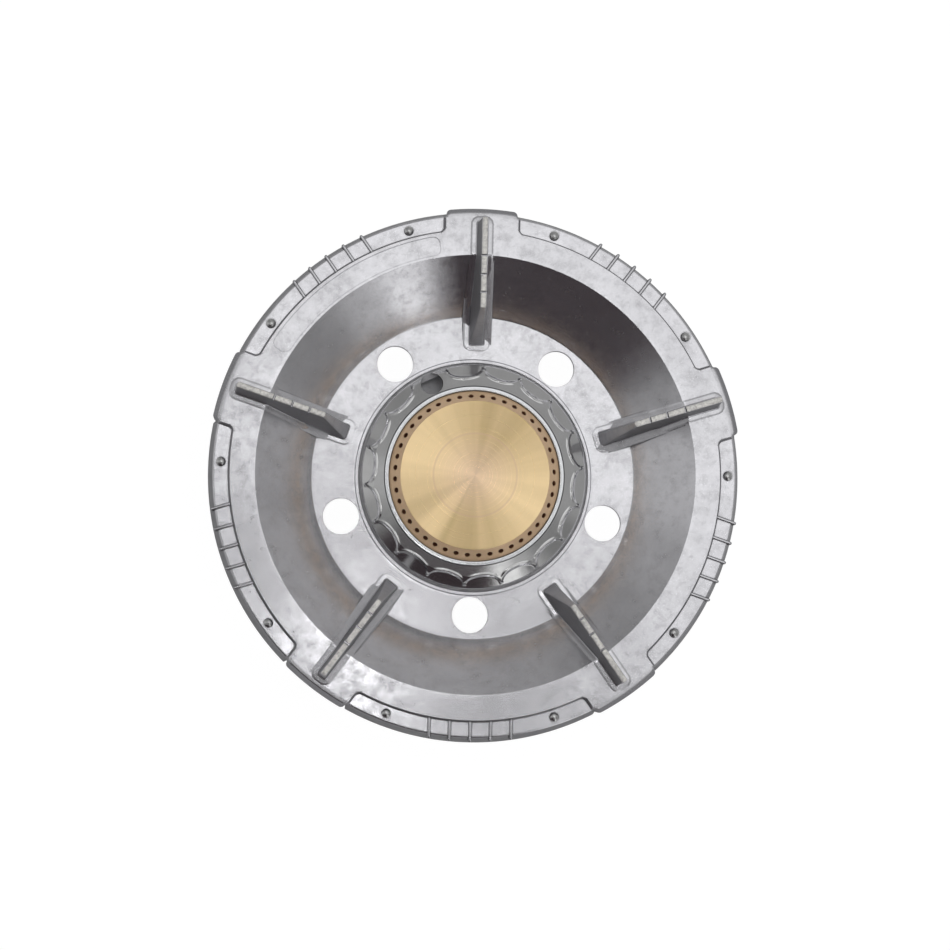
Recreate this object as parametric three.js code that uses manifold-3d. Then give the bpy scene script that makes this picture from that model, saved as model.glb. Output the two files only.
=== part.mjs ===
// Gas burner: a round cast bowl with five pan-support ribs on a five-legged stand.
// It holds a burner body with a mixing tube, a bright tray and a drilled brass cap.
// Millimetres, +Z up. The origin is on the table, under the axis of the bowl.

import * as THREE from 'three';
import { mergeVertices } from 'three/addons/utils/BufferGeometryUtils.js';
import Module from 'manifold-3d';

const wasm = await Module();
wasm.setup();

// Shared by all pieces
const gap = 0.3; // clearance between pieces that seat on each other
const looseGap = 0.6; // clearance round pieces that lift off or slide in
const overrun = 4; // how far a cutter passes the face that it cuts
const sink = 1; // how deep an added feature reaches into its carrier
const fullTurn = 2 * Math.PI;
const quarterTurn = fullTurn / 4;
const turnDegrees = 360;
const degree = fullTurn / turnDegrees;

// Pan support: bowl
const ringTop = 60; // flat ring's top face above the table
const castWall = 3.2;
const ledgeDrop = 1; // tray ledge below the ring's top
const beadWidth = 2.2; // raised bead round the opening
const beadHeight = 0.7;
const beadSide = 0.55; // width of the bead's slanted sides
const ringWidth = 27.5; // flat ring, from the opening to the cone
const coneRun = 32.4;
const rimWidth = 14.4; // from the cone to the pads
const rimRise = 28.9; // rim's inner edge above the ring's top
const rimFall = 0.6; // how much lower the rim's outer edge lies
const airHoleRadius = 10.65;
const airHoleInset = 14; // air hole's centre to the cone

// Pan support: rim, with grip pads between five raised blocks
const ribCount = 5;
const padWidth = 10.2;
const padDrop = 4.5; // pad floor below the rim
const padEdge = 0.8; // broken outer edge of a pad
const skirtFlare = 3.1; // how far the skirt ends past a pad's edge
const skirtRise = 11; // skirt's lower edge above the ring's top
const skirtLip = 1.5; // upright lip along the skirt's lower edge
const skirtWall = 1.8;
const blockProud = 0.4; // raised blocks past the skirt
const blockWidth = 42;
const blockCorner = 3.5;
const blockEdgeRun = 3;
const blockEdgeDrop = 4;
const gripCount = 5;
const gripPitch = 11.85;
const gripWidth = 1.7;
const gripRise = 0.9;
const gripSink = 2.1; // how far inside the skirt's face a grip rib starts

// Pan support: ribs
const panRise = 53.6; // rib tops above the ring's top
const ribTopWidth = 3.4;
const ribRootWidth = 9; // at the level of the ring's top
const ribInnerReach = 2.4; // top's inner end, in from the cone's foot
const ribFootReach = 16.7; // foot's inner end, in from the cone's foot
const ribOuterInset = 6.4; // top's outer end, in from the pads' edge
const ribOuterLean = 2.5; // how far the outer end leans out to its foot
const ribRound = 1.5; // rounding of the outer top corner
const notchRuns = [9.4, 19.7, 30.6]; // from the top's inner end
const notchWidth = 1.1;
const notchDepth = 1.6;
const notchFloor = 0.55; // width of a notch's floor

// Rivets, and the bosses that space the stand ring from the pads
const rivetInset = 5.5; // from the pads' inner step
const rivetSpread = 19.2; // degrees to each side of a pad's middle
const rivetShank = 1.5;
const rivetHead = 2.9;
const rivetHeadHeight = 1.9;
const rivetTail = 2.4;
const rivetTailHeight = 1.4;
const rivetBoss = 3.6;

// Stand: ring, legs, leg screws and feet
const standReach = 3.7; // stand ring's inner edge, in from the pads' inner step
const standThickness = 2;
const standRise = 1; // ring's underside above the skirt's lower edge
const legInset = 3; // screws and feet, out from the pads' inner step
const legBoss = 6.5;
const legWidth = 24;
const legThickness = 3;
const legBack = 8.7; // web's inner face to the screw
const legTabRun = 5.8; // screw to the end of the upper tab
const legFootRun = 7.8;
const legBend = 3;
const legGrip = 5; // depth of the screw's blind hole above the boss's root
const screwShank = 2.5;
const screwHead = 4.6; // across corners, from the axis
const screwHeadHeight = 3.5;
const footHeight = 8;
const footRadius = 9;
const footTaper = 1;
const footStem = 3.1;
const footPlug = 4.6;
const footPlugHeight = 2.5;

// Burner body
const bodyLipWall = 1.8; // bright rim round the cap
const bodyLipRise = 11.6;
const bodyLipRound = 0.6;
const seatWidth = 3.5; // cap seat, from the bore to the cap's edge
const seatRise = 7; // cap seat above the ring's top
const bodyWall = 4.5;
const bodyDrop = 40; // chamber's underside below the ring's top
const bodySlope = 7; // slanted corner under the chamber
const flangeWidth = 13.6; // past the bright rim
const flangeThickness = 6;
const bossDrop = 6.5; // ring bosses below the ring's underside
const armReach = 18.1; // burner screws, out from the tray opening
const armHalf = 8;
const armBoss = 6.5;
const armBlind = 2; // solid left over a blind hole in the ring
const armAngles = [18, 162, 234, 306];

// Mixing tube: its axis runs along +Y from the chamber
const tubeDrop = 22; // tube's axis below the ring's top
const tubeOuter = 14.5;
const tubeBore = 12;
const neckLength = 19.5; // from the chamber's bore to the joint face
const hubRadius = 17.5; // round middle of the two-screw flanges
const tubeFlangeThickness = 5;
const tubeFlangeEnd = 8; // round end of the two-screw flange
const tubeScrewSpread = 21.5;
const gasketThickness = 1;
const tubeLength = 42; // from the joint face
const windowWidth = 10;
const windowLength = 12;
const windowInset = 16; // from the joint face
const collarWall = 2.5;
const collarMargin = 4; // collar past each end of its windows
const thumbShank = 1.8;
const thumbHead = 4;
const thumbHeadHeight = 6;
const thumbStand = 1.2; // thumb screw's head off the collar

// Gas inlet
const spigotLength = 7;
const holderCollar = 14.8;
const holderCollarLength = 4;
const holderBody = 9;
const holderBodyLength = 12;
const gasBore = 3;
const jetThread = 4;
const jetHead = 5.8;
const jetHeadLength = 5;
const jetThreadLength = 6;
const jetNose = 3;
const jetNoseLength = 3;
const jetOrifice = 0.6;
const branchRadius = 8; // side branch of the holder
const branchEnd = 24;
const nutRadius = 11;
const nutLength = 11;
const nutLip = 2.4;
const nozzleFlange = 6.8;
const nozzleFlangeLength = 2.2;
const nozzleStem = 5;
const nozzleBore = 2.5;
const nozzleLength = 30;
const barbCount = 3;
const barbRise = 0.9;
const barbLength = 5;

// Burner tray
const trayFit = 0.5; // round the bright rim
const trayWidth = 13.3;
const trayPlay = 1.7; // round the tray, inside the opening
const trayRest = 2.7; // how far the tray's edge lies over the ledge
const trayWall = 1;
const trayInnerRise = 11.2; // plateau height at the inner edge
const trayStep = 0.9; // plateau above the outer slope
const trayShoulder = 3.6; // top of the upright edge above the ring's top
const traySlopeRuns = [6.3, 11.3]; // from the inner edge
const traySlopeRises = [9.6, 7]; // plateau height there
const scallopPitch = 20; // degrees
const cuspRun = 10.6; // from the inner edge
const scallopRun = 5;
const lightingHoleRadius = 6.6;
const lightingHoleRun = 7; // centre, from the inner edge
const lightingHoleAngle = 116;

// Burner cap
const capRadius = 50;
const capRise = 17; // top face above the ring's top
const capChamfer = 6.3;
const capWall = 3;
const capSpigot = 3.2; // spigot's wall
const capSpigotDrop = 5;
const portCount = 44;
const portRadius = 1.45;

// Facets
const bowlFacets = 60;
const standFacets = 40;
const trayFacets = 36;
const bodyFacets = portCount;
const tubeFacets = 24;
const smallFacets = 10;
const holeFacets = 8;
const hexFacets = 6;
const portFacets = 6;
const cornerSteps = 2;
const endSteps = 5;
const scallopSteps = 6;

// Angles worked out from the counts
const sectorAngle = fullTurn / ribCount;
const ribAngles = Array.from({ length: ribCount }, (_, i) => quarterTurn + i * sectorAngle);
const padAngles = ribAngles.map((angle) => angle - sectorAngle / 2);

// Radii, from the cap outwards
const recess = capRadius + looseGap;
const bodyLip = recess + bodyLipWall;
const bodyBore = capRadius - seatWidth;
const trayInner = bodyLip + trayFit;
const trayOuter = trayInner + trayWidth;
const ledgeRadius = trayOuter - trayRest;
const openingRadius = trayOuter + trayPlay;
const ringOuter = openingRadius + ringWidth;
const airHoleCircle = ringOuter - airHoleInset;
const rimInner = ringOuter + coneRun;
const padInner = rimInner + rimWidth;
const padOuter = padInner + padWidth;
const skirtRadius = padOuter + skirtFlare;
const blockRadius = skirtRadius + blockProud;
const rivetCircle = padInner + rivetInset;
const standInner = padInner - standReach;
const legCircle = padInner + legInset;
const ribInnerTop = ringOuter - ribInnerReach;
const ribInnerFoot = ringOuter - ribFootReach;
const ribOuterTop = padOuter - ribOuterInset;
const ribOuterFoot = ribOuterTop + ribOuterLean;
const flangeRadius = bodyLip + flangeWidth;
const armCircle = openingRadius + armReach;

// Places along the mixing tube, from the body's axis
const neckEnd = bodyBore + neckLength;
const windowStart = neckEnd + windowInset;
const tubeEnd = neckEnd + tubeLength;

// Levels above the table
const rimTop = ringTop + rimRise;
const blockTop = rimTop - rimFall;
const padFloor = blockTop - padDrop;
const padUnder = padFloor - castWall;
const skirtBottom = ringTop + skirtRise;
const ribTop = ringTop + panRise;
const ringUnder = ringTop - castWall;
const standUnder = skirtBottom + standRise;
const standTop = standUnder + standThickness;
const bossEnd = standTop + gap;
const legTop = standUnder - gap;
const legSeat = footHeight + gap; // underside of a leg's foot tab
const armTop = ringUnder - bossDrop - gap;
const armUnder = armTop - flangeThickness;
const tubeAxis = ringTop - tubeDrop;

// Turns a three.js geometry into a closed solid
function solidOf(geometry) {
  geometry.deleteAttribute('normal');
  geometry.deleteAttribute('uv');
  const merged = mergeVertices(geometry);
  const corners = merged.index.array;
  const kept = [];
  for (let i = 0; i < corners.length; i += 3) {
    const [a, b, c] = corners.slice(i, i + 3);
    if (a !== b && b !== c && c !== a) kept.push(a, b, c);
  }
  return new wasm.Manifold(new wasm.Mesh({
    numProp: 3,
    vertProperties: merged.attributes.position.array,
    triVerts: new Uint32Array(kept),
  }));
}

// Turns a solid back into a three.js geometry
function geometryOf(solid) {
  const mesh = solid.getMesh();
  const geometry = new THREE.BufferGeometry();
  geometry.setAttribute('position', new THREE.BufferAttribute(mesh.vertProperties, 3));
  geometry.setIndex(new THREE.BufferAttribute(mesh.triVerts, 1));
  geometry.computeVertexNormals();
  return geometry;
}

// Profile of [radius, height] points, turned about the Z axis
function turned(profile, facets) {
  const points = profile.map(([radius, height]) => new THREE.Vector2(radius, height));
  return new THREE.LatheGeometry(points, facets).rotateX(quarterTurn);
}

// The same for a ring, whose profile closes on itself
function turnedRing(profile, facets) {
  return turned([...profile, profile[0]], facets);
}

// Upright cylinder between two heights
function rod(radius, low, high, facets) {
  const cylinder = new THREE.CylinderGeometry(radius, radius, high - low, facets);
  return cylinder.rotateX(quarterTurn).translate(0, 0, (low + high) / 2);
}

// Box between two corners
function block(low, high) {
  const size = high.map((value, i) => value - low[i]);
  const middle = high.map((value, i) => (value + low[i]) / 2);
  return new THREE.BoxGeometry(...size).translate(...middle);
}

// Outline in the XZ plane, given a thickness along Y and centred on it
function slab(outline, thickness) {
  const shape = new THREE.Shape(outline.map(([x, z]) => new THREE.Vector2(x, z)));
  const geometry = new THREE.ExtrudeGeometry(shape, { depth: thickness, bevelEnabled: false });
  return geometry.rotateX(quarterTurn).translate(0, thickness / 2, 0);
}

// Outline in the XY plane, between two heights
function prism(outline, low, high) {
  const shape = new THREE.Shape(outline.map(([x, y]) => new THREE.Vector2(x, y)));
  const geometry = new THREE.ExtrudeGeometry(shape, { depth: high - low, bevelEnabled: false });
  return geometry.translate(0, 0, low);
}

// Lays an upright shape along the mixing tube, its +Z towards +Y
function alongTube(geometry) {
  return geometry.rotateX(-quarterTurn).translate(0, 0, tubeAxis);
}

// Lays an upright shape along the inlet branch, its +Z towards +X
function alongBranch(geometry) {
  return geometry.rotateY(quarterTurn).translate(0, branchPlace, tubeAxis);
}

// Points of an arc from one direction to the next
function arc(centreX, centreY, radius, fromAngle, toAngle, steps = cornerSteps) {
  const angles = Array.from({ length: steps + 1 }, (_, i) => fromAngle + ((toAngle - fromAngle) * i) / steps);
  return angles.map((angle) => [
    centreX + radius * Math.cos(angle),
    centreY + radius * Math.sin(angle),
  ]);
}

function joined(solid, geometries) {
  return geometries.reduce((whole, geometry) => whole.add(solidOf(geometry)), solid);
}

function cut(solid, geometries) {
  return geometries.reduce((whole, geometry) => whole.subtract(solidOf(geometry)), solid);
}

// Materials
const castAlloy = new THREE.MeshStandardMaterial({ color: 0xd2d4da, roughness: 0.35, metalness: 0.9 });
const bodyAlloy = new THREE.MeshStandardMaterial({ color: 0xc8cacf, roughness: 0.45, metalness: 0.9 });
const steel = new THREE.MeshStandardMaterial({ color: 0xa9abae, roughness: 0.4, metalness: 1 });
const mirrorSteel = new THREE.MeshStandardMaterial({ color: 0xc4c7cb, roughness: 0.12, metalness: 1 });
const turnedBrass = new THREE.MeshStandardMaterial({ color: 0xd8b878, roughness: 0.3, metalness: 1 });
const rubber = new THREE.MeshStandardMaterial({ color: 0x222222, roughness: 0.85, metalness: 0 });
const fibre = new THREE.MeshStandardMaterial({ color: 0x6b5f52, roughness: 0.9, metalness: 0 });

const burner = new THREE.Group();

function add(name, geometry, material, parent = burner) {
  const mesh = new THREE.Mesh(geometry, material);
  mesh.name = name;
  parent.add(mesh);
  return mesh;
}

// Inner face of the skirt at a height
function skirtInnerAt(height) {
  const share = (padUnder - height) / (padUnder - skirtBottom);
  return padOuter - skirtWall + share * (skirtRadius - padOuter);
}

// Bowl and rim as one turned ring, raised all round
function bowlRing() {
  const coneAngle = Math.atan2(rimRise, rimInner - ringOuter);
  const cornerShift = castWall * Math.tan(coneAngle / 2);
  return turnedRing([
    [ledgeRadius, ringUnder],
    [ringOuter + cornerShift, ringUnder],
    [rimInner + cornerShift, rimTop - castWall],
    [padInner - castWall, rimTop - castWall],
    [padInner - castWall, padUnder],
    [skirtInnerAt(padUnder), padUnder],
    [skirtInnerAt(skirtBottom), skirtBottom],
    [blockRadius, skirtBottom],
    [blockRadius, blockTop - blockEdgeDrop],
    [blockRadius - blockEdgeRun, blockTop],
    [rimInner, rimTop],
    [ringOuter, ringTop],
    [openingRadius + beadWidth, ringTop],
    [openingRadius + beadWidth - beadSide, ringTop + beadHeight],
    [openingRadius + beadSide, ringTop + beadHeight],
    [openingRadius, ringTop],
    [openingRadius, ringTop - ledgeDrop],
    [ledgeRadius, ringTop - ledgeDrop],
  ], bowlFacets);
}

// Plan outline of a raised block, along +X, with rounded inner corners
function blockOutline() {
  const half = blockWidth / 2;
  const wide = half + blockCorner;
  const inner = Math.sqrt(padInner ** 2 - wide ** 2) - blockCorner / 2;
  const outer = blockRadius + overrun;
  const lower = arc(inner + blockCorner, -wide, blockCorner, 2 * quarterTurn, quarterTurn);
  const upper = lower.map(([x, y]) => [x, -y]).reverse();
  return [
    [inner - overrun, -wide],
    ...lower,
    [outer, -half],
    [outer, half],
    ...upper,
    [inner - overrun, wide],
  ];
}

// What is cut from the raised ring to leave the pads and the flared skirt
function padCutter() {
  const high = blockTop + overrun;
  const wide = blockRadius + overrun;
  const lip = skirtBottom + skirtLip;
  const ring = solidOf(turnedRing([
    [padInner, padFloor],
    [padOuter - padEdge, padFloor],
    [padOuter, padFloor - padEdge],
    [skirtRadius, lip],
    [skirtRadius, skirtBottom - overrun],
    [wide, skirtBottom - overrun],
    [wide, high],
    [padInner, high],
  ], bowlFacets));
  const low = skirtBottom - 2 * overrun;
  const blocks = ribAngles.map((angle) => prism(blockOutline(), low, high + overrun).rotateZ(angle));
  return cut(ring, blocks);
}

// Five parallel grip ribs on each pad, wrapped over its outer edge
function gripRibs() {
  const inner = padInner - castWall + sink;
  const outline = [
    [inner, padFloor - sink],
    [padOuter - gripSink, padFloor - sink],
    [skirtRadius - gripSink, skirtBottom + skirtLip],
    [blockRadius, skirtBottom + skirtLip],
    [padOuter + gripRise, padFloor - padEdge],
    [padOuter - padEdge, padFloor + gripRise],
    [inner, padFloor + gripRise],
  ];
  const places = Array.from({ length: gripCount }, (_, i) => (i - (gripCount - 1) / 2) * gripPitch);
  return padAngles.flatMap((angle) => places.map(
    (place) => slab(outline, gripWidth).translate(0, place, 0).rotateZ(angle),
  ));
}

// Side outline of a pan-support rib, with its notches
function ribOutline() {
  const coneShift = sink * Math.tan(Math.atan2(rimRise, rimInner - ringOuter) / 2);
  const notchRadii = notchRuns.map((run) => ribInnerTop + run);
  const notches = notchRadii.toReversed().flatMap((radius) => [
    [radius + notchWidth / 2, ribTop],
    [radius + notchFloor / 2, ribTop - notchDepth],
    [radius - notchFloor / 2, ribTop - notchDepth],
    [radius - notchWidth / 2, ribTop],
  ]);
  const lean = ((ribInnerTop - ribInnerFoot) * sink) / panRise;
  return [
    [ribInnerFoot - lean, ringTop - sink],
    [ringOuter + coneShift, ringTop - sink],
    [rimInner + coneShift, rimTop - sink],
    [ribOuterFoot, blockTop - sink],
    [ribOuterFoot, blockTop],
    [ribOuterTop, ribTop - ribRound],
    [ribOuterTop - ribRound, ribTop],
    ...notches,
    [ribInnerTop, ribTop],
  ];
}

// Rib along +X whose thickness tapers upwards
function taperedRib() {
  const geometry = slab(ribOutline(), ribTopWidth);
  const places = geometry.attributes.position;
  for (let i = 0; i < places.count; i += 1) {
    const share = (ribTop - places.getZ(i)) / panRise;
    const width = ribTopWidth + share * (ribRootWidth - ribTopWidth);
    places.setY(i, (places.getY(i) / ribTopWidth) * width);
  }
  return geometry;
}

// Places of the rivets as [radius, angle]
function rivetPlaces() {
  return padAngles.flatMap((angle) => [
    [rivetCircle, angle - rivetSpread * degree],
    [rivetCircle, angle + rivetSpread * degree],
  ]);
}

// Upright cylinders at places given as [radius, angle]
function rodsAt(places, radius, low, high, facets) {
  return places.map(
    ([circle, angle]) => rod(radius, low, high, facets).translate(circle, 0, 0).rotateZ(angle),
  );
}

const legPlaces = ribAngles.map((angle) => [legCircle, angle]);
const armPlaces = armAngles.map((angle) => [armCircle, angle * degree]);
const airHolePlaces = padAngles.map((angle) => [airHoleCircle, angle]);
const ringBossEnd = ringUnder - bossDrop;

function panSupport() {
  const bosses = [
    ...rodsAt(rivetPlaces(), rivetBoss, bossEnd, padUnder + sink, holeFacets),
    ...rodsAt(legPlaces, legBoss, bossEnd, padUnder + sink, smallFacets),
    ...rodsAt(armPlaces, armBoss, ringBossEnd, ringUnder + sink, smallFacets),
  ];
  const holes = [
    ...rodsAt(airHolePlaces, airHoleRadius, ringUnder - overrun, ringTop + overrun, tubeFacets),
    ...rodsAt(rivetPlaces(), rivetShank + gap, bossEnd - overrun, padFloor + overrun, holeFacets),
    ...rodsAt(legPlaces, screwShank + gap, bossEnd - overrun, padUnder + legGrip, holeFacets),
    ...rodsAt(armPlaces, screwShank + gap, ringBossEnd - overrun, ringTop - armBlind, holeFacets),
  ];
  const ribs = ribAngles.map((angle) => taperedRib().rotateZ(angle));
  const ring = solidOf(bowlRing()).subtract(padCutter());
  const whole = joined(ring, [...gripRibs(), ...bosses, ...ribs]);
  return geometryOf(cut(whole, holes));
}

function rivet() {
  const head = padFloor + gap;
  const tail = standUnder - gap;
  return turned([
    [0, tail - rivetTailHeight],
    [rivetTail, tail - rivetTailHeight],
    [rivetTail, tail],
    [rivetShank, tail],
    [rivetShank, head],
    [rivetHead, head],
    [rivetHead * Math.cos(quarterTurn / 2), head + rivetHeadHeight * Math.sin(quarterTurn / 2)],
    [0, head + rivetHeadHeight],
  ], holeFacets);
}

function standRing() {
  const outer = skirtInnerAt(standTop) - looseGap;
  const ring = solidOf(turnedRing([
    [standInner, standUnder],
    [outer, standUnder],
    [outer, standTop],
    [standInner, standTop],
  ], standFacets));
  const low = standUnder - overrun;
  const high = standTop + overrun;
  return geometryOf(cut(ring, [
    ...rodsAt(rivetPlaces(), rivetShank + gap, low, high, holeFacets),
    ...rodsAt(legPlaces, screwShank + gap, low, high, holeFacets),
  ]));
}

// Strap leg along +X: a tab at each end of an upright web, both turned outwards
function leg() {
  const legInner = legCircle - legBack;
  const web = legInner + legThickness;
  const bend = legBend;
  const strap = solidOf(slab([
    [legInner + bend, legSeat],
    [legCircle + legFootRun, legSeat],
    [legCircle + legFootRun, legSeat + legThickness],
    [web, legSeat + legThickness],
    [web, legTop - legThickness],
    [legCircle + legTabRun, legTop - legThickness],
    [legCircle + legTabRun, legTop],
    [legInner + bend, legTop],
    [legInner, legTop - bend],
    [legInner, legSeat + bend],
  ], legWidth));
  const screwHole = rod(screwShank + gap, legTop - legThickness - overrun, legTop + overrun, holeFacets);
  const footHole = rod(footStem + gap, legSeat - overrun, legSeat + legThickness + overrun, holeFacets);
  return geometryOf(cut(strap, [screwHole.translate(legCircle, 0, 0), footHole.translate(legCircle, 0, 0)]));
}

// Hexagon screw with its head down, from the seat of its head to its tip
function hexScrew(seat, tip) {
  const shank = solidOf(rod(screwShank, seat - sink, tip, holeFacets));
  return geometryOf(joined(shank, [rod(screwHead, seat - screwHeadHeight, seat, hexFacets)]));
}

function foot() {
  const plug = legSeat + legThickness + gap;
  return turned([
    [0, 0],
    [footRadius, 0],
    [footRadius - footTaper, footHeight],
    [footStem, footHeight],
    [footStem, plug],
    [footPlug, plug],
    [footStem, plug + footPlugHeight],
    [0, plug + footPlugHeight],
  ], smallFacets);
}

// Two-screw flange: a plate with round ends and a round middle, laid across the tube's axis
function tubeFlange(start, end) {
  const plate = [
    ...arc(tubeScrewSpread, 0, tubeFlangeEnd, -quarterTurn, quarterTurn, endSteps),
    ...arc(-tubeScrewSpread, 0, tubeFlangeEnd, quarterTurn, 3 * quarterTurn, endSteps),
  ];
  return [alongTube(rod(hubRadius, start, end, tubeFacets)), alongTube(prism(plate, start, end))];
}

function tubeFlangeHoles(start, end) {
  return [-tubeScrewSpread, tubeScrewSpread].map((place) => alongTube(
    rod(screwShank + gap, start - overrun, end + overrun, holeFacets),
  ).translate(place, 0, 0));
}

function burnerBody() {
  const under = ringTop - bodyDrop;
  const lip = ringTop + bodyLipRise;
  const seat = ringTop + seatRise;
  const shell = solidOf(turned([
    [0, under],
    [bodyBore + bodyWall - bodySlope, under],
    [bodyBore + bodyWall, under + bodySlope],
    [bodyBore + bodyWall, armUnder],
    [flangeRadius, armUnder],
    [flangeRadius, armTop],
    [bodyLip, armTop],
    [bodyLip, lip - bodyLipRound],
    [bodyLip - bodyLipRound, lip],
    [recess + bodyLipRound, lip],
    [recess, lip - bodyLipRound],
    [recess, seat],
    [bodyBore, seat],
    [bodyBore, under + bodySlope + bodyWall],
    [bodyBore - bodySlope, under + bodyWall],
    [0, under + bodyWall],
  ], bodyFacets));
  const armOutline = [
    [bodyBore + bodyWall / 2, armHalf],
    [bodyBore + bodyWall / 2, -armHalf],
    ...arc(armCircle, 0, armHalf, -quarterTurn, quarterTurn, endSteps),
  ];
  const arms = armAngles.map((angle) => prism(armOutline, armUnder, armTop).rotateZ(angle * degree));
  const neck = alongTube(rod(tubeBore + bodyWall, bodyBore, neckEnd - tubeFlangeThickness / 2, tubeFacets));
  const flange = tubeFlange(neckEnd - tubeFlangeThickness, neckEnd);
  const whole = joined(shell, [...arms, neck, ...flange]);
  return geometryOf(cut(whole, [
    alongTube(rod(tubeBore, bodyBore - bodySlope, neckEnd + overrun, tubeFacets)),
    ...tubeFlangeHoles(neckEnd - tubeFlangeThickness, neckEnd),
    ...rodsAt(armPlaces, screwShank + gap, armUnder - overrun, armTop + overrun, holeFacets),
  ]));
}

const gasketStart = neckEnd + gap;
const gasketEnd = gasketStart + gasketThickness;
const tubeStart = gasketEnd + gap;
const tubeFlangeFace = tubeStart + tubeFlangeThickness;

function tubeGasket() {
  const [hub, plate] = tubeFlange(gasketStart, gasketEnd);
  return geometryOf(cut(joined(solidOf(hub), [plate]), [
    alongTube(rod(tubeBore, gasketStart - overrun, gasketEnd + overrun, tubeFacets)),
    ...tubeFlangeHoles(gasketStart, gasketEnd),
  ]));
}

// Two crossed bars that cut four air windows between the upright and level directions
function windowBars(reach) {
  const half = windowWidth / 2;
  return [1, 3].map((eighths) => alongTube(block(
    [-reach, -half, windowStart],
    [reach, half, windowStart + windowLength],
  ).rotateZ((eighths * quarterTurn) / 2)));
}

function mixingTube() {
  const [hub, plate] = tubeFlange(tubeStart, tubeFlangeFace);
  const tube = alongTube(rod(tubeOuter, tubeStart + sink, tubeEnd, tubeFacets));
  const whole = joined(solidOf(hub), [plate, tube]);
  return geometryOf(cut(whole, [
    alongTube(rod(tubeBore, tubeStart - overrun, tubeEnd + overrun, tubeFacets)),
    ...tubeFlangeHoles(tubeStart, tubeFlangeFace),
    ...windowBars(tubeOuter + overrun),
  ]));
}

// Flange screw along the tube, its head on the tube's flange
function tubeScrew() {
  const seat = tubeFlangeFace + gap;
  const tip = neckEnd - tubeFlangeThickness;
  const shank = solidOf(alongTube(rod(screwShank, tip, seat + sink, holeFacets)));
  return geometryOf(joined(shank, [alongTube(rod(screwHead, seat, seat + screwHeadHeight, hexFacets))]));
}

const collarInner = tubeOuter + gap;
const collarOuter = collarInner + collarWall;
const collarMiddle = windowStart + windowLength / 2;

function airShutter() {
  const start = windowStart - collarMargin;
  const end = windowStart + windowLength + collarMargin;
  const collar = solidOf(alongTube(turnedRing([
    [collarInner, start],
    [collarOuter, start],
    [collarOuter, end],
    [collarInner, end],
  ], tubeFacets)));
  const screwHole = rod(thumbShank + gap, tubeAxis - collarOuter - overrun, tubeAxis, holeFacets);
  return geometryOf(cut(collar, [
    ...windowBars(collarOuter + overrun),
    screwHole.translate(0, collarMiddle, 0),
  ]));
}

// Thumb screw that points down from the collar and also turns it
function shutterScrew() {
  const headTop = tubeAxis - collarOuter - thumbStand;
  const shank = solidOf(rod(thumbShank, headTop - sink, tubeAxis - collarInner, holeFacets));
  const head = rod(thumbHead, headTop - thumbHeadHeight, headTop, smallFacets);
  return geometryOf(joined(shank, [head]).translate(0, collarMiddle, 0));
}

const holderFace = tubeEnd + gap;
const spigotStart = tubeEnd - spigotLength;
const holderEnd = holderFace + holderCollarLength + holderBodyLength;
const branchPlace = holderFace + holderCollarLength + holderBodyLength / 2;

function injectorHolder() {
  const spigot = solidOf(alongTube(rod(tubeBore - gap, spigotStart, holderFace + sink, tubeFacets)));
  const collar = alongTube(rod(holderCollar, holderFace, holderFace + holderCollarLength, tubeFacets));
  const body = alongTube(rod(holderBody, holderFace, holderEnd, smallFacets));
  const branch = alongBranch(rod(branchRadius, 0, branchEnd, smallFacets));
  const whole = joined(spigot, [collar, body, branch]);
  return geometryOf(cut(whole, [
    alongTube(rod(jetThread + gap, spigotStart - overrun, spigotStart + jetThreadLength + gap, holeFacets)),
    alongTube(rod(gasBore, spigotStart, branchPlace + gasBore, holeFacets)),
    alongBranch(rod(gasBore, 0, branchEnd + overrun, holeFacets)),
  ]));
}

function injectorJet() {
  const seat = spigotStart - gap;
  const nose = seat - jetHeadLength;
  const thread = solidOf(alongTube(rod(jetThread, seat - sink, spigotStart + jetThreadLength, holeFacets)));
  const head = alongTube(rod(jetHead, nose, seat, hexFacets));
  const tip = alongTube(rod(jetNose, nose - jetNoseLength, nose + sink, holeFacets));
  const whole = joined(thread, [head, tip]);
  const threadEnd = spigotStart + jetThreadLength;
  const orifice = rod(jetOrifice, nose - jetNoseLength - overrun, threadEnd + overrun, portFacets);
  return geometryOf(cut(whole, [alongTube(orifice)]));
}

const nozzleStart = branchEnd + gap;
const flangeEnd = nozzleStart + nozzleFlangeLength;
const nutEnd = flangeEnd + gap + nutLip;

function inletNut() {
  const nut = solidOf(alongBranch(rod(nutRadius, nutEnd - nutLength, nutEnd, hexFacets)));
  return geometryOf(cut(nut, [
    alongBranch(rod(branchRadius + gap, 0, nutEnd - nutLip, smallFacets)),
    alongBranch(rod(nozzleStem + gap, 0, nutEnd + overrun, smallFacets)),
  ]));
}

// Hose nozzle with a flange under the nut and barbs towards its open end
function inletNozzle() {
  const tip = nozzleStart + nozzleLength;
  const barbs = Array.from({ length: barbCount }, (_, i) => tip - (barbCount - i) * barbLength);
  return geometryOf(solidOf(alongBranch(turnedRing([
    [nozzleBore, nozzleStart],
    [nozzleFlange, nozzleStart],
    [nozzleFlange, flangeEnd],
    [nozzleStem, flangeEnd],
    ...barbs.flatMap((start) => [
      [nozzleStem, start],
      [nozzleStem + barbRise, start],
      [nozzleStem, start + barbLength],
    ]).slice(0, -1),
    [nozzleStem, tip],
    [nozzleBore, tip],
  ], smallFacets))));
}

// Plateau height of the tray at its inner edge, its slope radii and its outer edge
function trayProfile() {
  const radii = [trayInner, ...traySlopeRuns.map((run) => trayInner + run)];
  const rises = [trayInnerRise, ...traySlopeRises];
  return radii.map((radius, i) => [radius, ringTop + rises[i]]);
}

// Lowered copy of a profile
function lowered(profile, drop) {
  return profile.map(([radius, height]) => [radius, height - drop]);
}

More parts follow.
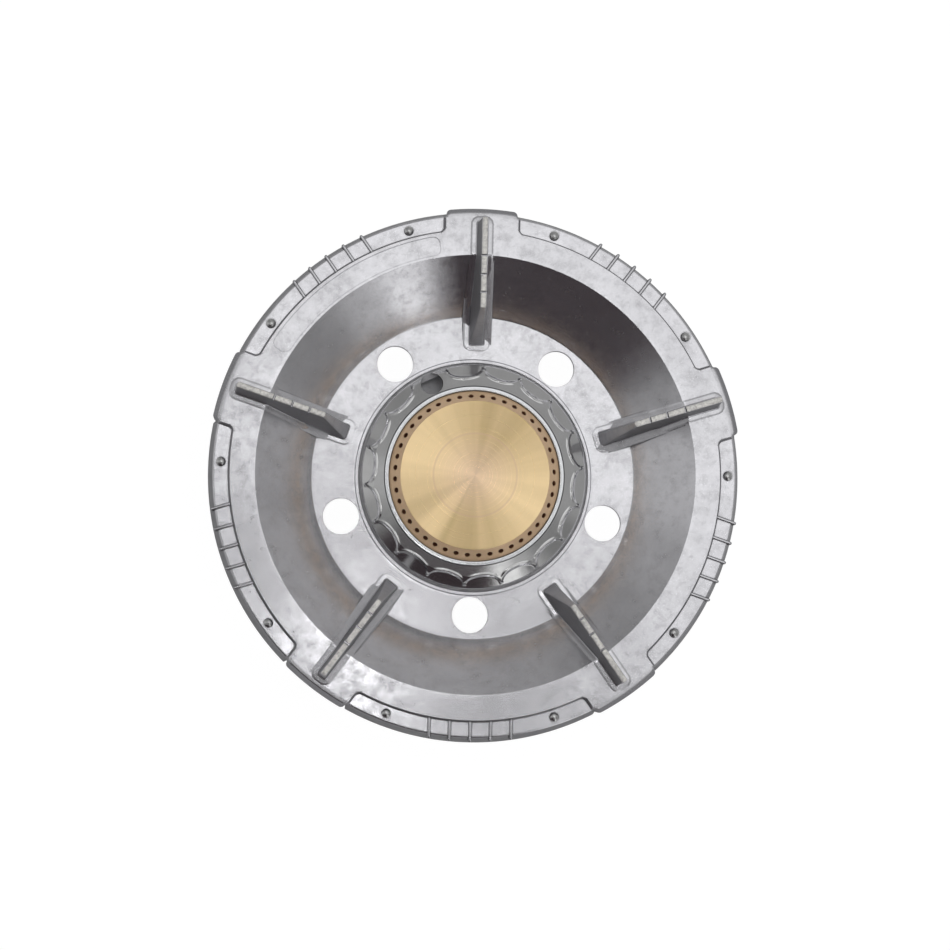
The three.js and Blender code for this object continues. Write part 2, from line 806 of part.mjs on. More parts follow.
// Plan outline of the plateau: concave arcs between cusps, and one plain round stretch at the lighting hole
function scallopOutline() {
  const scallops = Math.floor(turnDegrees / scallopPitch) - 1;
  const plain = turnDegrees - scallops * scallopPitch;
  const dip = (i) => {
    const across = (2 * (i % scallopSteps)) / scallopSteps - 1;
    return Math.sqrt(Math.max(0, 1 - across ** 2)) * (cuspRun - scallopRun);
  };
  const dented = Array.from({ length: scallops * scallopSteps }, (_, i) => [
    trayInner + cuspRun - dip(i),
    lightingHoleAngle + plain / 2 + (scallopPitch * i) / scallopSteps,
  ]);
  const round = Array.from({ length: scallopSteps }, (_, i) => [
    trayInner + cuspRun,
    lightingHoleAngle - plain / 2 + (plain * i) / scallopSteps,
  ]);
  return [...dented, ...round].map(([radius, angle]) => [
    radius * Math.cos(angle * degree),
    radius * Math.sin(angle * degree),
  ]);
}

function burnerTray() {
  const plateau = trayProfile();
  const slope = lowered(plateau, trayStep);
  const under = lowered(slope, trayWall);
  const shoulder = ringTop + trayShoulder;
  const rest = ringTop - ledgeDrop + gap;
  const high = ringTop + trayInnerRise + overrun;
  const phase = (lightingHoleAngle + scallopPitch / 2) * degree;
  const dish = solidOf(turnedRing([
    ...under,
    [trayOuter - trayWall, shoulder - trayWall],
    [trayOuter - trayWall, rest],
    [trayOuter, rest],
    [trayOuter, shoulder + trayStep],
    ...plateau.toReversed(),
  ], trayFacets).rotateZ(phase));
  const lowering = solidOf(turnedRing([
    ...slope,
    [trayOuter, shoulder],
    [trayOuter + overrun, shoulder],
    [trayOuter + overrun, high],
    [trayInner, high],
  ], trayFacets).rotateZ(phase));
  const outside = cut(lowering, [prism(scallopOutline(), ringTop - overrun, high + overrun)]);
  const hole = rod(lightingHoleRadius, ringTop - overrun, high, tubeFacets);
  return geometryOf(cut(dish.subtract(outside), [
    hole.translate(trayInner + lightingHoleRun, 0, 0).rotateZ(lightingHoleAngle * degree),
  ]));
}

function burnerCap() {
  const top = ringTop + capRise;
  const shoulder = top - capChamfer;
  const seat = ringTop + seatRise + gap;
  const spigotOuter = bodyBore - looseGap;
  const spigotInner = spigotOuter - capSpigot;
  const spigotEnd = seat - capSpigotDrop;
  const roof = top - capWall;
  const shell = solidOf(turned([
    [0, roof],
    [spigotInner - capWall / 2, roof],
    [spigotInner, roof - capWall / 2],
    [spigotInner, spigotEnd],
    [spigotOuter, spigotEnd],
    [spigotOuter, seat],
    [capRadius, seat],
    [capRadius, shoulder],
    [capRadius - capChamfer, top],
    [0, top],
  ], bodyFacets).rotateZ(quarterTurn));
  const portReach = capChamfer + capSpigot + capWall;
  const ports = Array.from({ length: portCount }, (_, i) => rod(portRadius, -portReach, overrun, portFacets)
    .rotateY(quarterTurn / 2)
    .translate(capRadius - capChamfer / 2, 0, top - capChamfer / 2)
    .rotateZ(((i + 0.5) * fullTurn) / portCount));
  return geometryOf(cut(shell, ports));
}

// Assembly
add('pan_support', panSupport(), castAlloy);
rivetPlaces().forEach(([circle, angle], i) => {
  add(`rim_rivet_${i + 1}`, rivet().translate(circle, 0, 0), steel).rotation.z = angle;
});
add('stand_ring', standRing(), steel);
ribAngles.forEach((angle, i) => {
  const side = new THREE.Group();
  side.rotation.z = angle;
  burner.add(side);
  add(`leg_${i + 1}`, leg(), steel, side);
  const screw = hexScrew(legTop - legThickness - gap, padUnder + legGrip - gap);
  add(`leg_screw_${i + 1}`, screw.translate(legCircle, 0, 0), steel, side);
  add(`foot_${i + 1}`, foot().translate(legCircle, 0, 0), rubber, side);
});
add('burner_body', burnerBody(), bodyAlloy);
armPlaces.forEach(([circle, angle], i) => {
  const screw = hexScrew(armUnder - gap, ringTop - armBlind - gap);
  add(`burner_screw_${i + 1}`, screw.translate(circle, 0, 0), steel).rotation.z = angle;
});
add('tube_gasket', tubeGasket(), fibre);
add('mixing_tube', mixingTube(), bodyAlloy);
[-tubeScrewSpread, tubeScrewSpread].forEach((place, i) => {
  add(`tube_screw_${i + 1}`, tubeScrew(), steel).position.x = place;
});
add('air_shutter', airShutter(), steel);
add('shutter_screw', shutterScrew(), turnedBrass);
add('injector_holder', injectorHolder(), turnedBrass);
add('injector_jet', injectorJet(), turnedBrass);
add('inlet_nut', inletNut(), turnedBrass);
add('inlet_nozzle', inletNozzle(), turnedBrass);
add('burner_tray', burnerTray(), mirrorSteel);
add('burner_cap', burnerCap(), turnedBrass);

export default burner;
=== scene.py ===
import math

import bpy
import numpy as np
from mathutils import Matrix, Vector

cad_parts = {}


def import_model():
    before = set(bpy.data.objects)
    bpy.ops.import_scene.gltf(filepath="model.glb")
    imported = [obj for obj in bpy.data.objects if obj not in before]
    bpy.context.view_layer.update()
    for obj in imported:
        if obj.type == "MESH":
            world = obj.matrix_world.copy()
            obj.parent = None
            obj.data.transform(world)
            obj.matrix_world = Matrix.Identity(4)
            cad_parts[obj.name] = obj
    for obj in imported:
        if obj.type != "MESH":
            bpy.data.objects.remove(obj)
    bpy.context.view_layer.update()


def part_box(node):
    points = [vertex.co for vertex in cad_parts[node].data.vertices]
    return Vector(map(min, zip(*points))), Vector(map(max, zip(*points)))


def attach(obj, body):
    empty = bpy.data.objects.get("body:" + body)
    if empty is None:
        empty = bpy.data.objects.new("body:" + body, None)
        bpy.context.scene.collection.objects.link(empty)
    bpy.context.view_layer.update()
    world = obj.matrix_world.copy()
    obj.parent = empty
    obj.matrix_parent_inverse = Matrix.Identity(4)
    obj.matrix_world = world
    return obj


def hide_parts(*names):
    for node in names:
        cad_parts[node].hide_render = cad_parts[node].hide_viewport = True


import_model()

# Shared by all pieces
FULL_TURN = 2 * math.pi
CORNER_SOFT = 0.001
EDGE_SOFT = 0.0006
SMALL_SOFT = 0.0003
CLEARANCE = 0.0003
OVERRUN = 0.004
AXIS_RADIUS = 0.000002
SHARP_ANGLE = math.radians(32)

# Mesh steps, and columns round turned solids
COARSE_STEP = 0.002
FINE_STEP = 0.0002
ARC_STEPS = 6
OUTLINE_STEPS = 24
BODY_COLUMNS = 240
BORE_COLUMNS = 96
FITTING_COLUMNS = 64
BOSS_COLUMNS = 48
PIN_COLUMNS = 32

# Levels above the table
RING_TOP = 0.060
RIM_TOP = 0.0889
BLOCK_TOP = 0.0883
RIB_TOP = 0.1136
SKIRT_BOTTOM = 0.071

# Bowl radii
LEDGE_INNER = 0.0635
OPENING = 0.0679
RING_OUTER = 0.0954
RIM_INNER = 0.1278
PAD_INNER = 0.1422
PAD_EDGE = 0.1516
PAD_OUTER = 0.1524
SKIRT_OUTER = 0.1555
BLOCK_OUTER = 0.1559

# Bowl details
CAST_WALL = 0.0032
LEDGE_DROP = 0.001
BEAD_WIDTH = 0.0022
BEAD_RISE = 0.0005
PAD_DROP = 0.0045
STEP_RUN = 0.0016
PAD_CORNER = 0.0035
BLOCK_HALF = 0.021
BLOCK_CORNER = 0.0025
BLOCK_CHAMFER = 0.003
BLOCK_CHAMFER_DROP = 0.004
SKIRT_LIP = 0.0015
SKIRT_WALL = 0.0018
AIR_HOLE = 0.01065
AIR_HOLE_CIRCLE = 0.0814
CONE_ANGLE = math.atan2(RIM_TOP - RING_TOP, RIM_INNER - RING_OUTER)
CONE_MATCH = 0.04
BLOCK_CORNER_COLUMNS = 6
ANGLE_COLUMNS = 18
PAD_ROWS = 6

# Ribs
RIB_COUNT = 5
SECTOR = FULL_TURN / RIB_COUNT
RIB_ANGLES = [FULL_TURN / 4 + SECTOR * i for i in range(RIB_COUNT)]
PAD_ANGLES = [angle - SECTOR / 2 for angle in RIB_ANGLES]
RIB_FOOT = (0.0787, 0.1485)
RIB_HEAD = (0.093, 0.146)
RIB_TOP_HALF = 0.0017
RIB_ROOT_HALF = 0.0042
RIB_CORNER = 0.0011
RIB_EDGE = 0.0007
RIB_FILLET = 0.0009
COLLAR_REACH = 0.0028
COLLAR_RISE = 0.0002
COLLAR_CROWN = 0.00007
FOOT_WAVER = 0.00004
COLLAR_EDGE = 0.0009
RIB_SINK = 0.001
RIB_SIDE_COLUMNS = 57
RIB_LEVELS = 10
BASE_HALVINGS = 40
SIDE_NUDGE = 1e-9
NOTCHES = (0.1024, 0.1127, 0.1236)
NOTCH_WIDTH = 0.0013
NOTCH_FLOOR = 0.00055
NOTCH_DEPTH = 0.0016

# Grip ridges on the pads
GRIP_COUNT = 5
GRIP_PITCH = 0.01185
GRIP_HALF = 0.0011
GRIP_RISE = 0.0011
GRIP_OUTER = 0.1538
GRIP_SINK = 0.0003
GRIP_LOOPS = 13

# Rivets
RIVET_CIRCLE = 0.1477
RIVET_SPREAD = math.radians(19.2)
RIVET_ANGLES = [angle + side * RIVET_SPREAD for angle in PAD_ANGLES for side in (-1, 1)]
RIVET_HEAD = 0.0029
RIVET_HEAD_RISE = 0.0019
RIVET_SHANK = 0.0015
RIVET_TAIL = 0.0024
RIVET_TAIL_RISE = 0.0014
SPOT_FACE = 0.0034
SPOT_DEPTH = 0.0002
RIVET_COLUMNS = 40
RIVET_ARC = 10

# Bosses
RIVET_BOSS = 0.0036
LEG_BOSS = 0.0065
LEG_CIRCLE = 0.1452
ARM_BOSS = 0.0065
ARM_CIRCLE = 0.086
ARM_ANGLES = [math.radians(angle) for angle in (18, 162, 234, 306)]
SCREW_HOLE = 0.0028
SCREW_HOLE_DEPTH = 0.005
ARM_BLIND = 0.002
BOSS_END = 0.0743
RING_BOSS_END = 0.0503

# Blank panel on the rim
PANEL_RADII = (0.1292, 0.1406)
PANEL_ANGLES = (math.radians(100.3), math.radians(149.5))
PANEL_CORNER = 0.004
PANEL_DEPTH = 0.0006
PANEL_COLUMNS = 90

# Tray
TRAY_PROFILE = ((0.0529, 0.0712), (0.0592, 0.0696), (0.0642, 0.067))
TRAY_OUTER = 0.0662
TRAY_SHOULDER = 0.0636
TRAY_REST = 0.0593
TRAY_STEP = 0.0006
TRAY_STEP_RUN = 0.0014
TRAY_WALL = 0.001
CUSP_RADIUS = 0.0635
SCALLOP_RADIUS = 0.0579
SCALLOP_COUNT = 18
SCALLOP_PITCH = FULL_TURN / SCALLOP_COUNT
TRAY_EDGE_TOP = 0.0660
TRAY_BEAD = 0.00042
TRAY_BEAD_SIZE = 0.00062
TRAY_STEP_PLACE = 0.001
BEAD_FADE = 1.4
BEAD_FADE_START = 0.35
CUSP_BUMP = 0.00055
CUSP_BUMP_SIZE = 0.00075
LIGHTING_HOLE = 0.0066
LIGHTING_HOLE_CIRCLE = 0.0599
LIGHTING_HOLE_ANGLE = math.radians(116)
TRAY_COLUMNS = 720
TRAY_ROWS = 84

# Cap
CAP_RADIUS = 0.050
CAP_TOP = 0.077
CAP_CHAMFER = 0.0063
CAP_SEAT = 0.0673
CAP_BORE = 0.0459
CAP_SPIGOT_WALL = 0.0032
CAP_SPIGOT_END = 0.0623
CAP_WALL = 0.003
CAP_COLUMNS = 264
PORT_COUNT = 44
PORT_RADIUS = 0.0015
PORT_SINK = 0.0085
PORT_FLARE = 1.12
PORT_COLUMNS = 24

# Burner body and mixing tube
LIP_INNER = 0.05035
LIP_OUTER = 0.05265
LIP_TOP = 0.0716
LIP_SOFT = 0.00025
BODY_BORE = 0.0465
BODY_WALL = 0.0045
BODY_DROP = 0.040
BODY_SLOPE = 0.007
BODY_FLANGE = 0.066
ARM_UNDER = 0.044
ARM_TOP = 0.050
ARM_HALF = 0.008
TUBE_AXIS = 0.038
TUBE_BORE = 0.012
TUBE_HUB = 0.0175
TUBE_FLANGE = 0.005
TUBE_FLANGE_END = 0.008
TUBE_SCREW_SPREAD = 0.0215
NECK_END = 0.066
TUBE_OUTER = 0.0145
TUBE_END = 0.108
GASKET = 0.001
WINDOW_WIDTH = 0.010
WINDOW_START = 0.082
WINDOW_LENGTH = 0.012

# Stand
STAND_INNER = 0.1385
STAND_UNDER = 0.072
STAND_TOP = 0.074
LEG_BACK = 0.0087
LEG_THICKNESS = 0.003
LEG_TAB_RUN = 0.0058
LEG_FOOT_RUN = 0.0078
LEG_SEAT = 0.0083
LEG_TOP = 0.0717
LEG_HALF = 0.012
LEG_BEND = 0.003
LEG_EDGE = 0.0004
FOOT_RADIUS = 0.009
FOOT_TAPER = 0.001
FOOT_HEIGHT = 0.008
FOOT_STEM = 0.0031
FOOT_PLUG = 0.0046
FOOT_PLUG_HEIGHT = 0.0025

# Screws
BOLT_HEAD = 0.0046
BOLT_HEAD_HEIGHT = 0.0035
BOLT_SOFT = 0.0004
BOLT_SHANK = 0.0025
BOLT_THREAD = 0.0003
BOLT_PITCH = 0.0008

# Air shutter
COLLAR_WALL = 0.0025
COLLAR_MARGIN = 0.004
THUMB_SHANK = 0.0018
THUMB_HEAD = 0.004
THUMB_HEIGHT = 0.006
THUMB_STAND = 0.0012
THUMB_KNURLS = 24
THUMB_GROOVE = 0.0004

# Injector holder, jet, nut and nozzle
HOLDER_FACE = TUBE_END + CLEARANCE
SPIGOT_LENGTH = 0.007
SPIGOT_START = TUBE_END - SPIGOT_LENGTH
HOLDER_COLLAR = 0.0148
HOLDER_COLLAR_LENGTH = 0.004
HOLDER_BODY_START = HOLDER_FACE + HOLDER_COLLAR_LENGTH
HOLDER_BODY = 0.009
HOLDER_BODY_LENGTH = 0.012
HOLDER_END = HOLDER_BODY_START + HOLDER_BODY_LENGTH
BRANCH_PLACE = (HOLDER_BODY_START + HOLDER_END) / 2
BRANCH_RADIUS = 0.008
BRANCH_END = 0.024
GAS_BORE = 0.003
JET_THREAD = 0.004
JET_THREAD_LENGTH = 0.006
JET_HEAD = 0.0058
JET_HEAD_LENGTH = 0.005
JET_NOSE = 0.003
JET_NOSE_LENGTH = 0.003
JET_ORIFICE = 0.0006
NUT_RADIUS = 0.011
NUT_LENGTH = 0.011
NUT_LIP = 0.0024
NOZZLE_FLANGE = 0.0068
NOZZLE_FLANGE_LENGTH = 0.0022
NOZZLE_STEM = 0.005
NOZZLE_BORE = 0.0025
NOZZLE_LENGTH = 0.030
BARBS = 3
BARB_RISE = 0.0009
BARB_LENGTH = 0.005


# Helpers for solids, which are kept as (points, faces) until they become objects
def soften(corners, closed=False):
    """Polyline through (u, v, radius) corners, each corner rounded by an arc."""
    points = []
    count = len(corners)
    for i, (u, v, radius) in enumerate(corners):
        here = np.array([u, v])
        if radius == 0 or (not closed and i in (0, count - 1)):
            points.append(here)
            continue
        back = np.array(corners[i - 1][:2]) - here
        ahead = np.array(corners[(i + 1) % count][:2]) - here
        back /= np.linalg.norm(back)
        ahead /= np.linalg.norm(ahead)
        half = math.acos(max(-1, min(1, float(back @ ahead)))) / 2
        middle = back + ahead
        centre = here + middle / np.linalg.norm(middle) * radius / math.sin(half)
        first = here + back * radius / math.tan(half) - centre
        last = here + ahead * radius / math.tan(half) - centre
        start = math.atan2(first[1], first[0])
        turn = math.atan2(last[1], last[0]) - start
        turn = (turn + math.pi) % FULL_TURN - math.pi
        for k in range(ARC_STEPS + 1):
            angle = start + turn * k / ARC_STEPS
            points.append(centre + radius * np.array([math.cos(angle), math.sin(angle)]))
    return np.array(points)


def refine(points, step):
    """Splits long runs of a polyline into even parts."""
    out = [points[0]]
    for a, b in zip(points[:-1], points[1:]):
        parts = max(1, math.ceil(np.linalg.norm(b - a) / step))
        out += [a + (b - a) * k / parts for k in range(1, parts + 1)]
    return np.array(out)


def smooth(value):
    value = np.clip(value, 0, 1)
    return value * value * (3 - 2 * value)


def turned_solid(solid, angle):
    cos, sin = math.cos(angle), math.sin(angle)
    x, y, z = solid[0].T
    return np.stack([x * cos - y * sin, x * sin + y * cos, z], axis=1), solid[1]


def moved(solid, x=0, y=0, z=0):
    return solid[0] + np.array([x, y, z]), solid[1]


def placed(solid, radius, angle):
    """A solid at a distance from the middle axis, turned about it."""
    return turned_solid(moved(solid, radius), angle)


def around(solid, radius, angles):
    return [placed(solid, radius, angle) for angle in angles]


def upside_down(solid):
    return solid[0] * np.array([1, 1, -1]), [face[::-1] for face in solid[1]]


def compound(solids):
    """One set of points and faces from many that don't overlap."""
    points, faces, start = [], [], 0
    for part_points, part_faces in solids:
        points.append(part_points)
        faces += [[start + i for i in face] for face in part_faces]
        start += len(part_points)
    return np.concatenate(points), faces


def stacked(loops, close=False):
    """Solid through loops of equal length; its ends are capped, or joined when close is set."""
    loops = np.array(loops)
    rows, columns = loops.shape[:2]
    faces = []
    for i in range(rows if close else rows - 1):
        low, high = i * columns, (i + 1) % rows * columns
        for j in range(columns):
            k = (j + 1) % columns
            faces.append([low + j, low + k, high + k, high + j])
    if not close:
        faces.append(list(range(columns))[::-1])
        faces.append([(rows - 1) * columns + j for j in range(columns)])
    return loops.reshape(-1, 3), faces


def angles_round(columns):
    return FULL_TURN * np.arange(columns) / columns


def polar_points(radius, angles, heights):
    """Points from distances, angles and heights, of which some may be single values."""
    x, y, z = np.broadcast_arrays(radius * np.cos(angles), radius * np.sin(angles), heights)
    return np.stack([x, y, z], axis=1)


def circle(radius, height, columns):
    return polar_points(radius, angles_round(columns), height)


def lathe(profile, columns, close=False):
    """Turned solid; the profile goes up its outer side. Close joins its ends into a ring."""
    return stacked([circle(max(r, AXIS_RADIUS), z, columns) for r, z in profile], close)


def spun(corners, columns, closed=False):
    """Turned solid from (radius, height, softening) corners."""
    return lathe(soften(corners, closed), columns, closed)


def rod(radius, low, high, columns=PIN_COLUMNS):
    return lathe([(radius, low), (radius, high)], columns)


def make_object(name, solid):
    mesh = bpy.data.meshes.new(name)
    mesh.from_pydata(solid[0].tolist(), [], solid[1])
    mesh.validate()
    mesh.update()
    made = bpy.data.objects.new(name, mesh)
    bpy.context.scene.collection.objects.link(made)
    return made


def combine(name, piece, joins, cuts):
    """Joins solids to a piece, then cuts others from it."""
    others = []
    for operation, solids in (("UNION", joins), ("DIFFERENCE", cuts)):
        for solid in solids:
            other = make_object(name + "_tool", solid)
            change = piece.modifiers.new(operation, "BOOLEAN")
            change.operation = operation
            change.solver = "MANIFOLD"
            change.object = other
            others.append(other)
    graph = bpy.context.evaluated_depsgraph_get()
    result = bpy.data.meshes.new_from_object(piece.evaluated_get(graph))
    piece.modifiers.clear()
    old = piece.data
    piece.data = result
    bpy.data.meshes.remove(old)
    for other in others:
        mesh = other.data
        bpy.data.objects.remove(other)
        bpy.data.meshes.remove(mesh)
    result.name = name


def make_piece(name, solid, body, replaced, materials, joins=(), cuts=()):
    """A piece with its joins and cuts, shading, materials and place in the frame."""
    piece = make_object(name, solid)
    if joins or cuts:
        combine(name, piece, joins, cuts)
    piece.data.materials.clear()
    for material in materials:
        piece.data.materials.append(material)
    piece.data.shade_smooth()
    piece.data.set_sharp_from_angle(angle=SHARP_ANGLE)
    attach(piece, body)
    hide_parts(*replaced)
    return piece


# Pan support
def bowl_height(radius):
    """Top face of the bowl, without its pads."""
    places = [0, RING_OUTER, RIM_INNER, BLOCK_OUTER]
    return np.interp(radius, places, [RING_TOP, RING_TOP, RIM_TOP, BLOCK_TOP])


def lateral_places():
    """Distances from a block's middle line that the fine columns keep."""
    flank = BLOCK_HALF - BLOCK_CORNER
    coarse = np.arange(0, flank, COARSE_STEP)
    corner = np.linspace(flank, BLOCK_HALF, BLOCK_CORNER_COLUMNS)[:-1]
    reach = BLOCK_HALF + PAD_CORNER
    fine = np.arange(BLOCK_HALF, reach, FINE_STEP)
    return np.concatenate([coarse, corner, fine, [reach, reach + EDGE_SOFT]])


def sector_row(radius_at, height_at):
    """One station round a half sector: points from the block's middle to the pad's middle."""
    lateral = lateral_places()
    radius = radius_at(lateral)
    angles = np.arcsin(lateral / radius)
    rest = np.linspace(angles[-1], SECTOR / 2, ANGLE_COLUMNS + 1)[1:]
    far_radius = np.full(len(rest), radius[-1])
    far_lateral = np.maximum(far_radius * np.sin(rest), lateral[-1])
    angles = np.concatenate([angles, rest])
    radii = np.concatenate([radius, far_radius])
    heights = height_at(radii, np.concatenate([lateral, far_lateral]))
    return angles, radii, heights


def full_row(radius_at, height_at):
    """The same station all the way round, mirrored at each block."""
    angles, radii, heights = sector_row(radius_at, height_at)
    angles = np.concatenate([-angles[::-1][:-1], angles[:-1]])
    radii = np.concatenate([radii[::-1][:-1], radii[:-1]])
    heights = np.concatenate([heights[::-1][:-1], heights[:-1]])
    turned = np.concatenate([angle + angles for angle in RIB_ANGLES])
    return polar_points(np.tile(radii, RIB_COUNT), turned, np.tile(heights, RIB_COUNT))


def even_row(radius, height_at):
    return full_row(lambda lateral: np.full(len(lateral), radius), height_at)


def plain_row(radius, height):
    return even_row(radius, lambda radii, lateral: np.full(len(radii), height))


def pad_share(radius, lateral):
    """0 on the raised rim and 1 on a pad's floor, with a soft step between."""
    a = radius - PAD_INNER
    b = lateral - BLOCK_HALF
    corner = PAD_CORNER - np.hypot(np.maximum(PAD_CORNER - a, 0), np.maximum(PAD_CORNER - b, 0))
    inside = np.where((a < PAD_CORNER) & (b < PAD_CORNER), corner, np.minimum(a, b))
    return smooth(inside / STEP_RUN)


def rim_row(radius):
    def height_at(radii, lateral):
        top = bowl_height(radii)
        floor = BLOCK_TOP - PAD_DROP
        return top + (floor - top) * pad_share(radii, lateral)
    return even_row(radius, height_at)


def block_corner(lateral):
    """How far a block's outer face stands back at its rounded ends."""
    over = np.clip(lateral - (BLOCK_HALF - BLOCK_CORNER), 0, BLOCK_CORNER)
    return BLOCK_CORNER - np.sqrt(BLOCK_CORNER ** 2 - over ** 2)


def blend(block_value, pad_value, lateral):
    """Goes over from a value on the blocks to another on the pads."""
    share = smooth((lateral - BLOCK_HALF) / STEP_RUN)
    return block_value * (1 - share) + pad_value * share


def skirt_rows(block_line, pad_line):
    rows = []
    for (block_radius, block_height), (pad_radius, pad_height) in zip(block_line, pad_line):
        rows.append(full_row(
            lambda lateral: blend(block_radius - block_corner(lateral), pad_radius, lateral),
            lambda radii, lateral: blend(block_height, pad_height, lateral),
        ))
    return rows


def bowl_solid():
    shift = CAST_WALL * math.tan(CONE_ANGLE / 2)
    ring_under = RING_TOP - CAST_WALL
    pad_floor = BLOCK_TOP - PAD_DROP
    pad_under = pad_floor - CAST_WALL
    bead_end = OPENING + BEAD_WIDTH
    inner = refine(soften([
        (LEDGE_INNER, RING_TOP - LEDGE_DROP, 0),
        (OPENING, RING_TOP - LEDGE_DROP, FINE_STEP),
        (OPENING, RING_TOP + BEAD_RISE, BEAD_RISE / 2),
        (bead_end - BEAD_RISE, RING_TOP + BEAD_RISE, BEAD_RISE / 2),
        (bead_end, RING_TOP, BEAD_RISE / 3),
        (RING_OUTER, RING_TOP, CORNER_SOFT),
        (RIM_INNER, RIM_TOP, EDGE_SOFT),
        (PAD_INNER - EDGE_SOFT, bowl_height(PAD_INNER - EDGE_SOFT), 0),
    ]), COARSE_STEP)
    rows = [plain_row(radius, height) for radius, height in inner]
    fine = np.arange(PAD_INNER, PAD_INNER + PAD_CORNER + STEP_RUN, FINE_STEP)
    coarse = np.linspace(fine[-1], PAD_EDGE - EDGE_SOFT, PAD_ROWS)[1:]
    rows += [rim_row(radius) for radius in np.concatenate([fine, coarse])]
    top_edge = BLOCK_OUTER - BLOCK_CHAMFER
    block_line = soften([
        (PAD_EDGE - EDGE_SOFT, BLOCK_TOP, 0),
        (top_edge, BLOCK_TOP, CORNER_SOFT),
        (BLOCK_OUTER, BLOCK_TOP - BLOCK_CHAMFER_DROP, CORNER_SOFT),
        (BLOCK_OUTER, SKIRT_BOTTOM, EDGE_SOFT),
        (BLOCK_OUTER - SKIRT_WALL, SKIRT_BOTTOM, 0),
    ])
    pad_line = soften([
        (PAD_EDGE - EDGE_SOFT, pad_floor, 0),
        (PAD_OUTER, pad_floor, CORNER_SOFT),
        (SKIRT_OUTER, SKIRT_BOTTOM + SKIRT_LIP, CORNER_SOFT),
        (SKIRT_OUTER, SKIRT_BOTTOM, EDGE_SOFT),
        (SKIRT_OUTER - SKIRT_WALL, SKIRT_BOTTOM, 0),
    ])
    rows += skirt_rows(block_line[1:], pad_line[1:])
    under = refine(soften([
        (SKIRT_OUTER - SKIRT_WALL, SKIRT_BOTTOM, 0),
        (PAD_OUTER - SKIRT_WALL, pad_under, CORNER_SOFT),
        (PAD_INNER - CAST_WALL, pad_under, CORNER_SOFT),
        (PAD_INNER - CAST_WALL, RIM_TOP - CAST_WALL, CORNER_SOFT),
        (RIM_INNER + shift, RIM_TOP - CAST_WALL, CORNER_SOFT),
        (RING_OUTER + shift, ring_under, CORNER_SOFT),
        (LEDGE_INNER, ring_under, EDGE_SOFT),
        (LEDGE_INNER, RING_TOP - LEDGE_DROP, 0),
    ]), COARSE_STEP * 3)
    rows += [plain_row(radius, height) for radius, height in under[1:-1]]
    return stacked(rows, close=True)


def rib_columns():
    """Columns round a rib: share of its length, place on the rounded corner and outward direction."""
    quarter = np.linspace(0, math.pi / 2, ARC_STEPS + 1)
    side = [(s, 0, 1, 0, 1) for s in np.linspace(0, 1, RIB_SIDE_COLUMNS)]
    outer = [(1, math.sin(a), math.cos(a), math.sin(a), math.cos(a)) for a in quarter[1:]]
    inner = [(0, -math.sin(a), math.cos(a), -math.sin(a), math.cos(a)) for a in quarter[1:]]
    half = inner[::-1] + side + outer
    mirrored = [(s, dx, -cy, nx, -ny) for s, dx, cy, nx, ny in half[::-1]]
    return np.array(half + mirrored)


def rib_points(columns, share_up, offset):
    """Places of all columns at their own share of the rib's height, pushed out by offset."""
    height = RING_TOP + (RIB_TOP - RING_TOP) * share_up
    half = RIB_ROOT_HALF + (RIB_TOP_HALF - RIB_ROOT_HALF) * share_up
    length_share = columns[:, 0]
    foot = RIB_FOOT[0] + RIB_CORNER + length_share * (RIB_FOOT[1] - RIB_FOOT[0] - 2 * RIB_CORNER)
    head = RIB_HEAD[0] + RIB_CORNER + length_share * (RIB_HEAD[1] - RIB_HEAD[0] - 2 * RIB_CORNER)
    x = foot + (head - foot) * share_up + RIB_CORNER * columns[:, 1] + offset * columns[:, 3]
    side = np.sign(columns[:, 2] + columns[:, 4] * SIDE_NUDGE)
    y = side * (half - RIB_CORNER) + RIB_CORNER * columns[:, 2] + offset * columns[:, 4]
    return np.stack([x, y, height], axis=1)


def rib_solid():
    """Rib along +X that rises from the bowl with a soft foot."""
    columns = rib_columns()
    low, high = np.zeros(len(columns)), np.ones(len(columns))
    for _ in range(BASE_HALVINGS):
        middle = (low + high) / 2
        places = rib_points(columns, middle, 0)
        above = places[:, 2] > bowl_height(np.hypot(places[:, 0], places[:, 1]))
        high = np.where(above, middle, high)
        low = np.where(above, low, middle)
    base = high
    rise = RIB_TOP - RING_TOP
    loops = []
    foot_levels = [
        (-COLLAR_RISE, COLLAR_REACH + 2 * COLLAR_EDGE),
        (COLLAR_RISE * 0.8, COLLAR_REACH + COLLAR_EDGE * 0.3),
        (COLLAR_RISE, COLLAR_REACH),
        (COLLAR_RISE + 0.4 * COLLAR_CROWN, COLLAR_REACH - FINE_STEP),
        (COLLAR_RISE + 0.6 * COLLAR_CROWN, RIB_FILLET + FINE_STEP),
    ]
    fillet_foot = COLLAR_RISE + COLLAR_CROWN
    for k in range(ARC_STEPS + 2):
        angle = math.pi / 2 * k / (ARC_STEPS + 1)
        level = fillet_foot + RIB_FILLET * (1 - math.cos(angle))
        foot_levels.append((level, RIB_FILLET * (1 - math.sin(angle))))
    waver = FOOT_WAVER * (np.arange(len(columns)) % 2)
    for level, offset in foot_levels:
        places = rib_points(columns, base + max(level, 0) / rise, offset + waver)
        places[:, 2] = bowl_height(np.hypot(places[:, 0], places[:, 1])) + level + waver
        loops.append(places)
    start = base + (fillet_foot + RIB_FILLET) / rise
    stop = 1 - RIB_EDGE / rise
    for share in np.linspace(0, 1, RIB_LEVELS)[1:]:
        loops.append(rib_points(columns, start + (stop - start) * share, 0))
    for k in range(1, ARC_STEPS + 1):
        angle = math.pi / 2 * k / ARC_STEPS
        level = 1 - RIB_EDGE * (1 - math.sin(angle)) / rise
        loops.append(rib_points(columns, np.full(len(columns), level), -RIB_EDGE * (1 - math.cos(angle))))
    return stacked(loops)


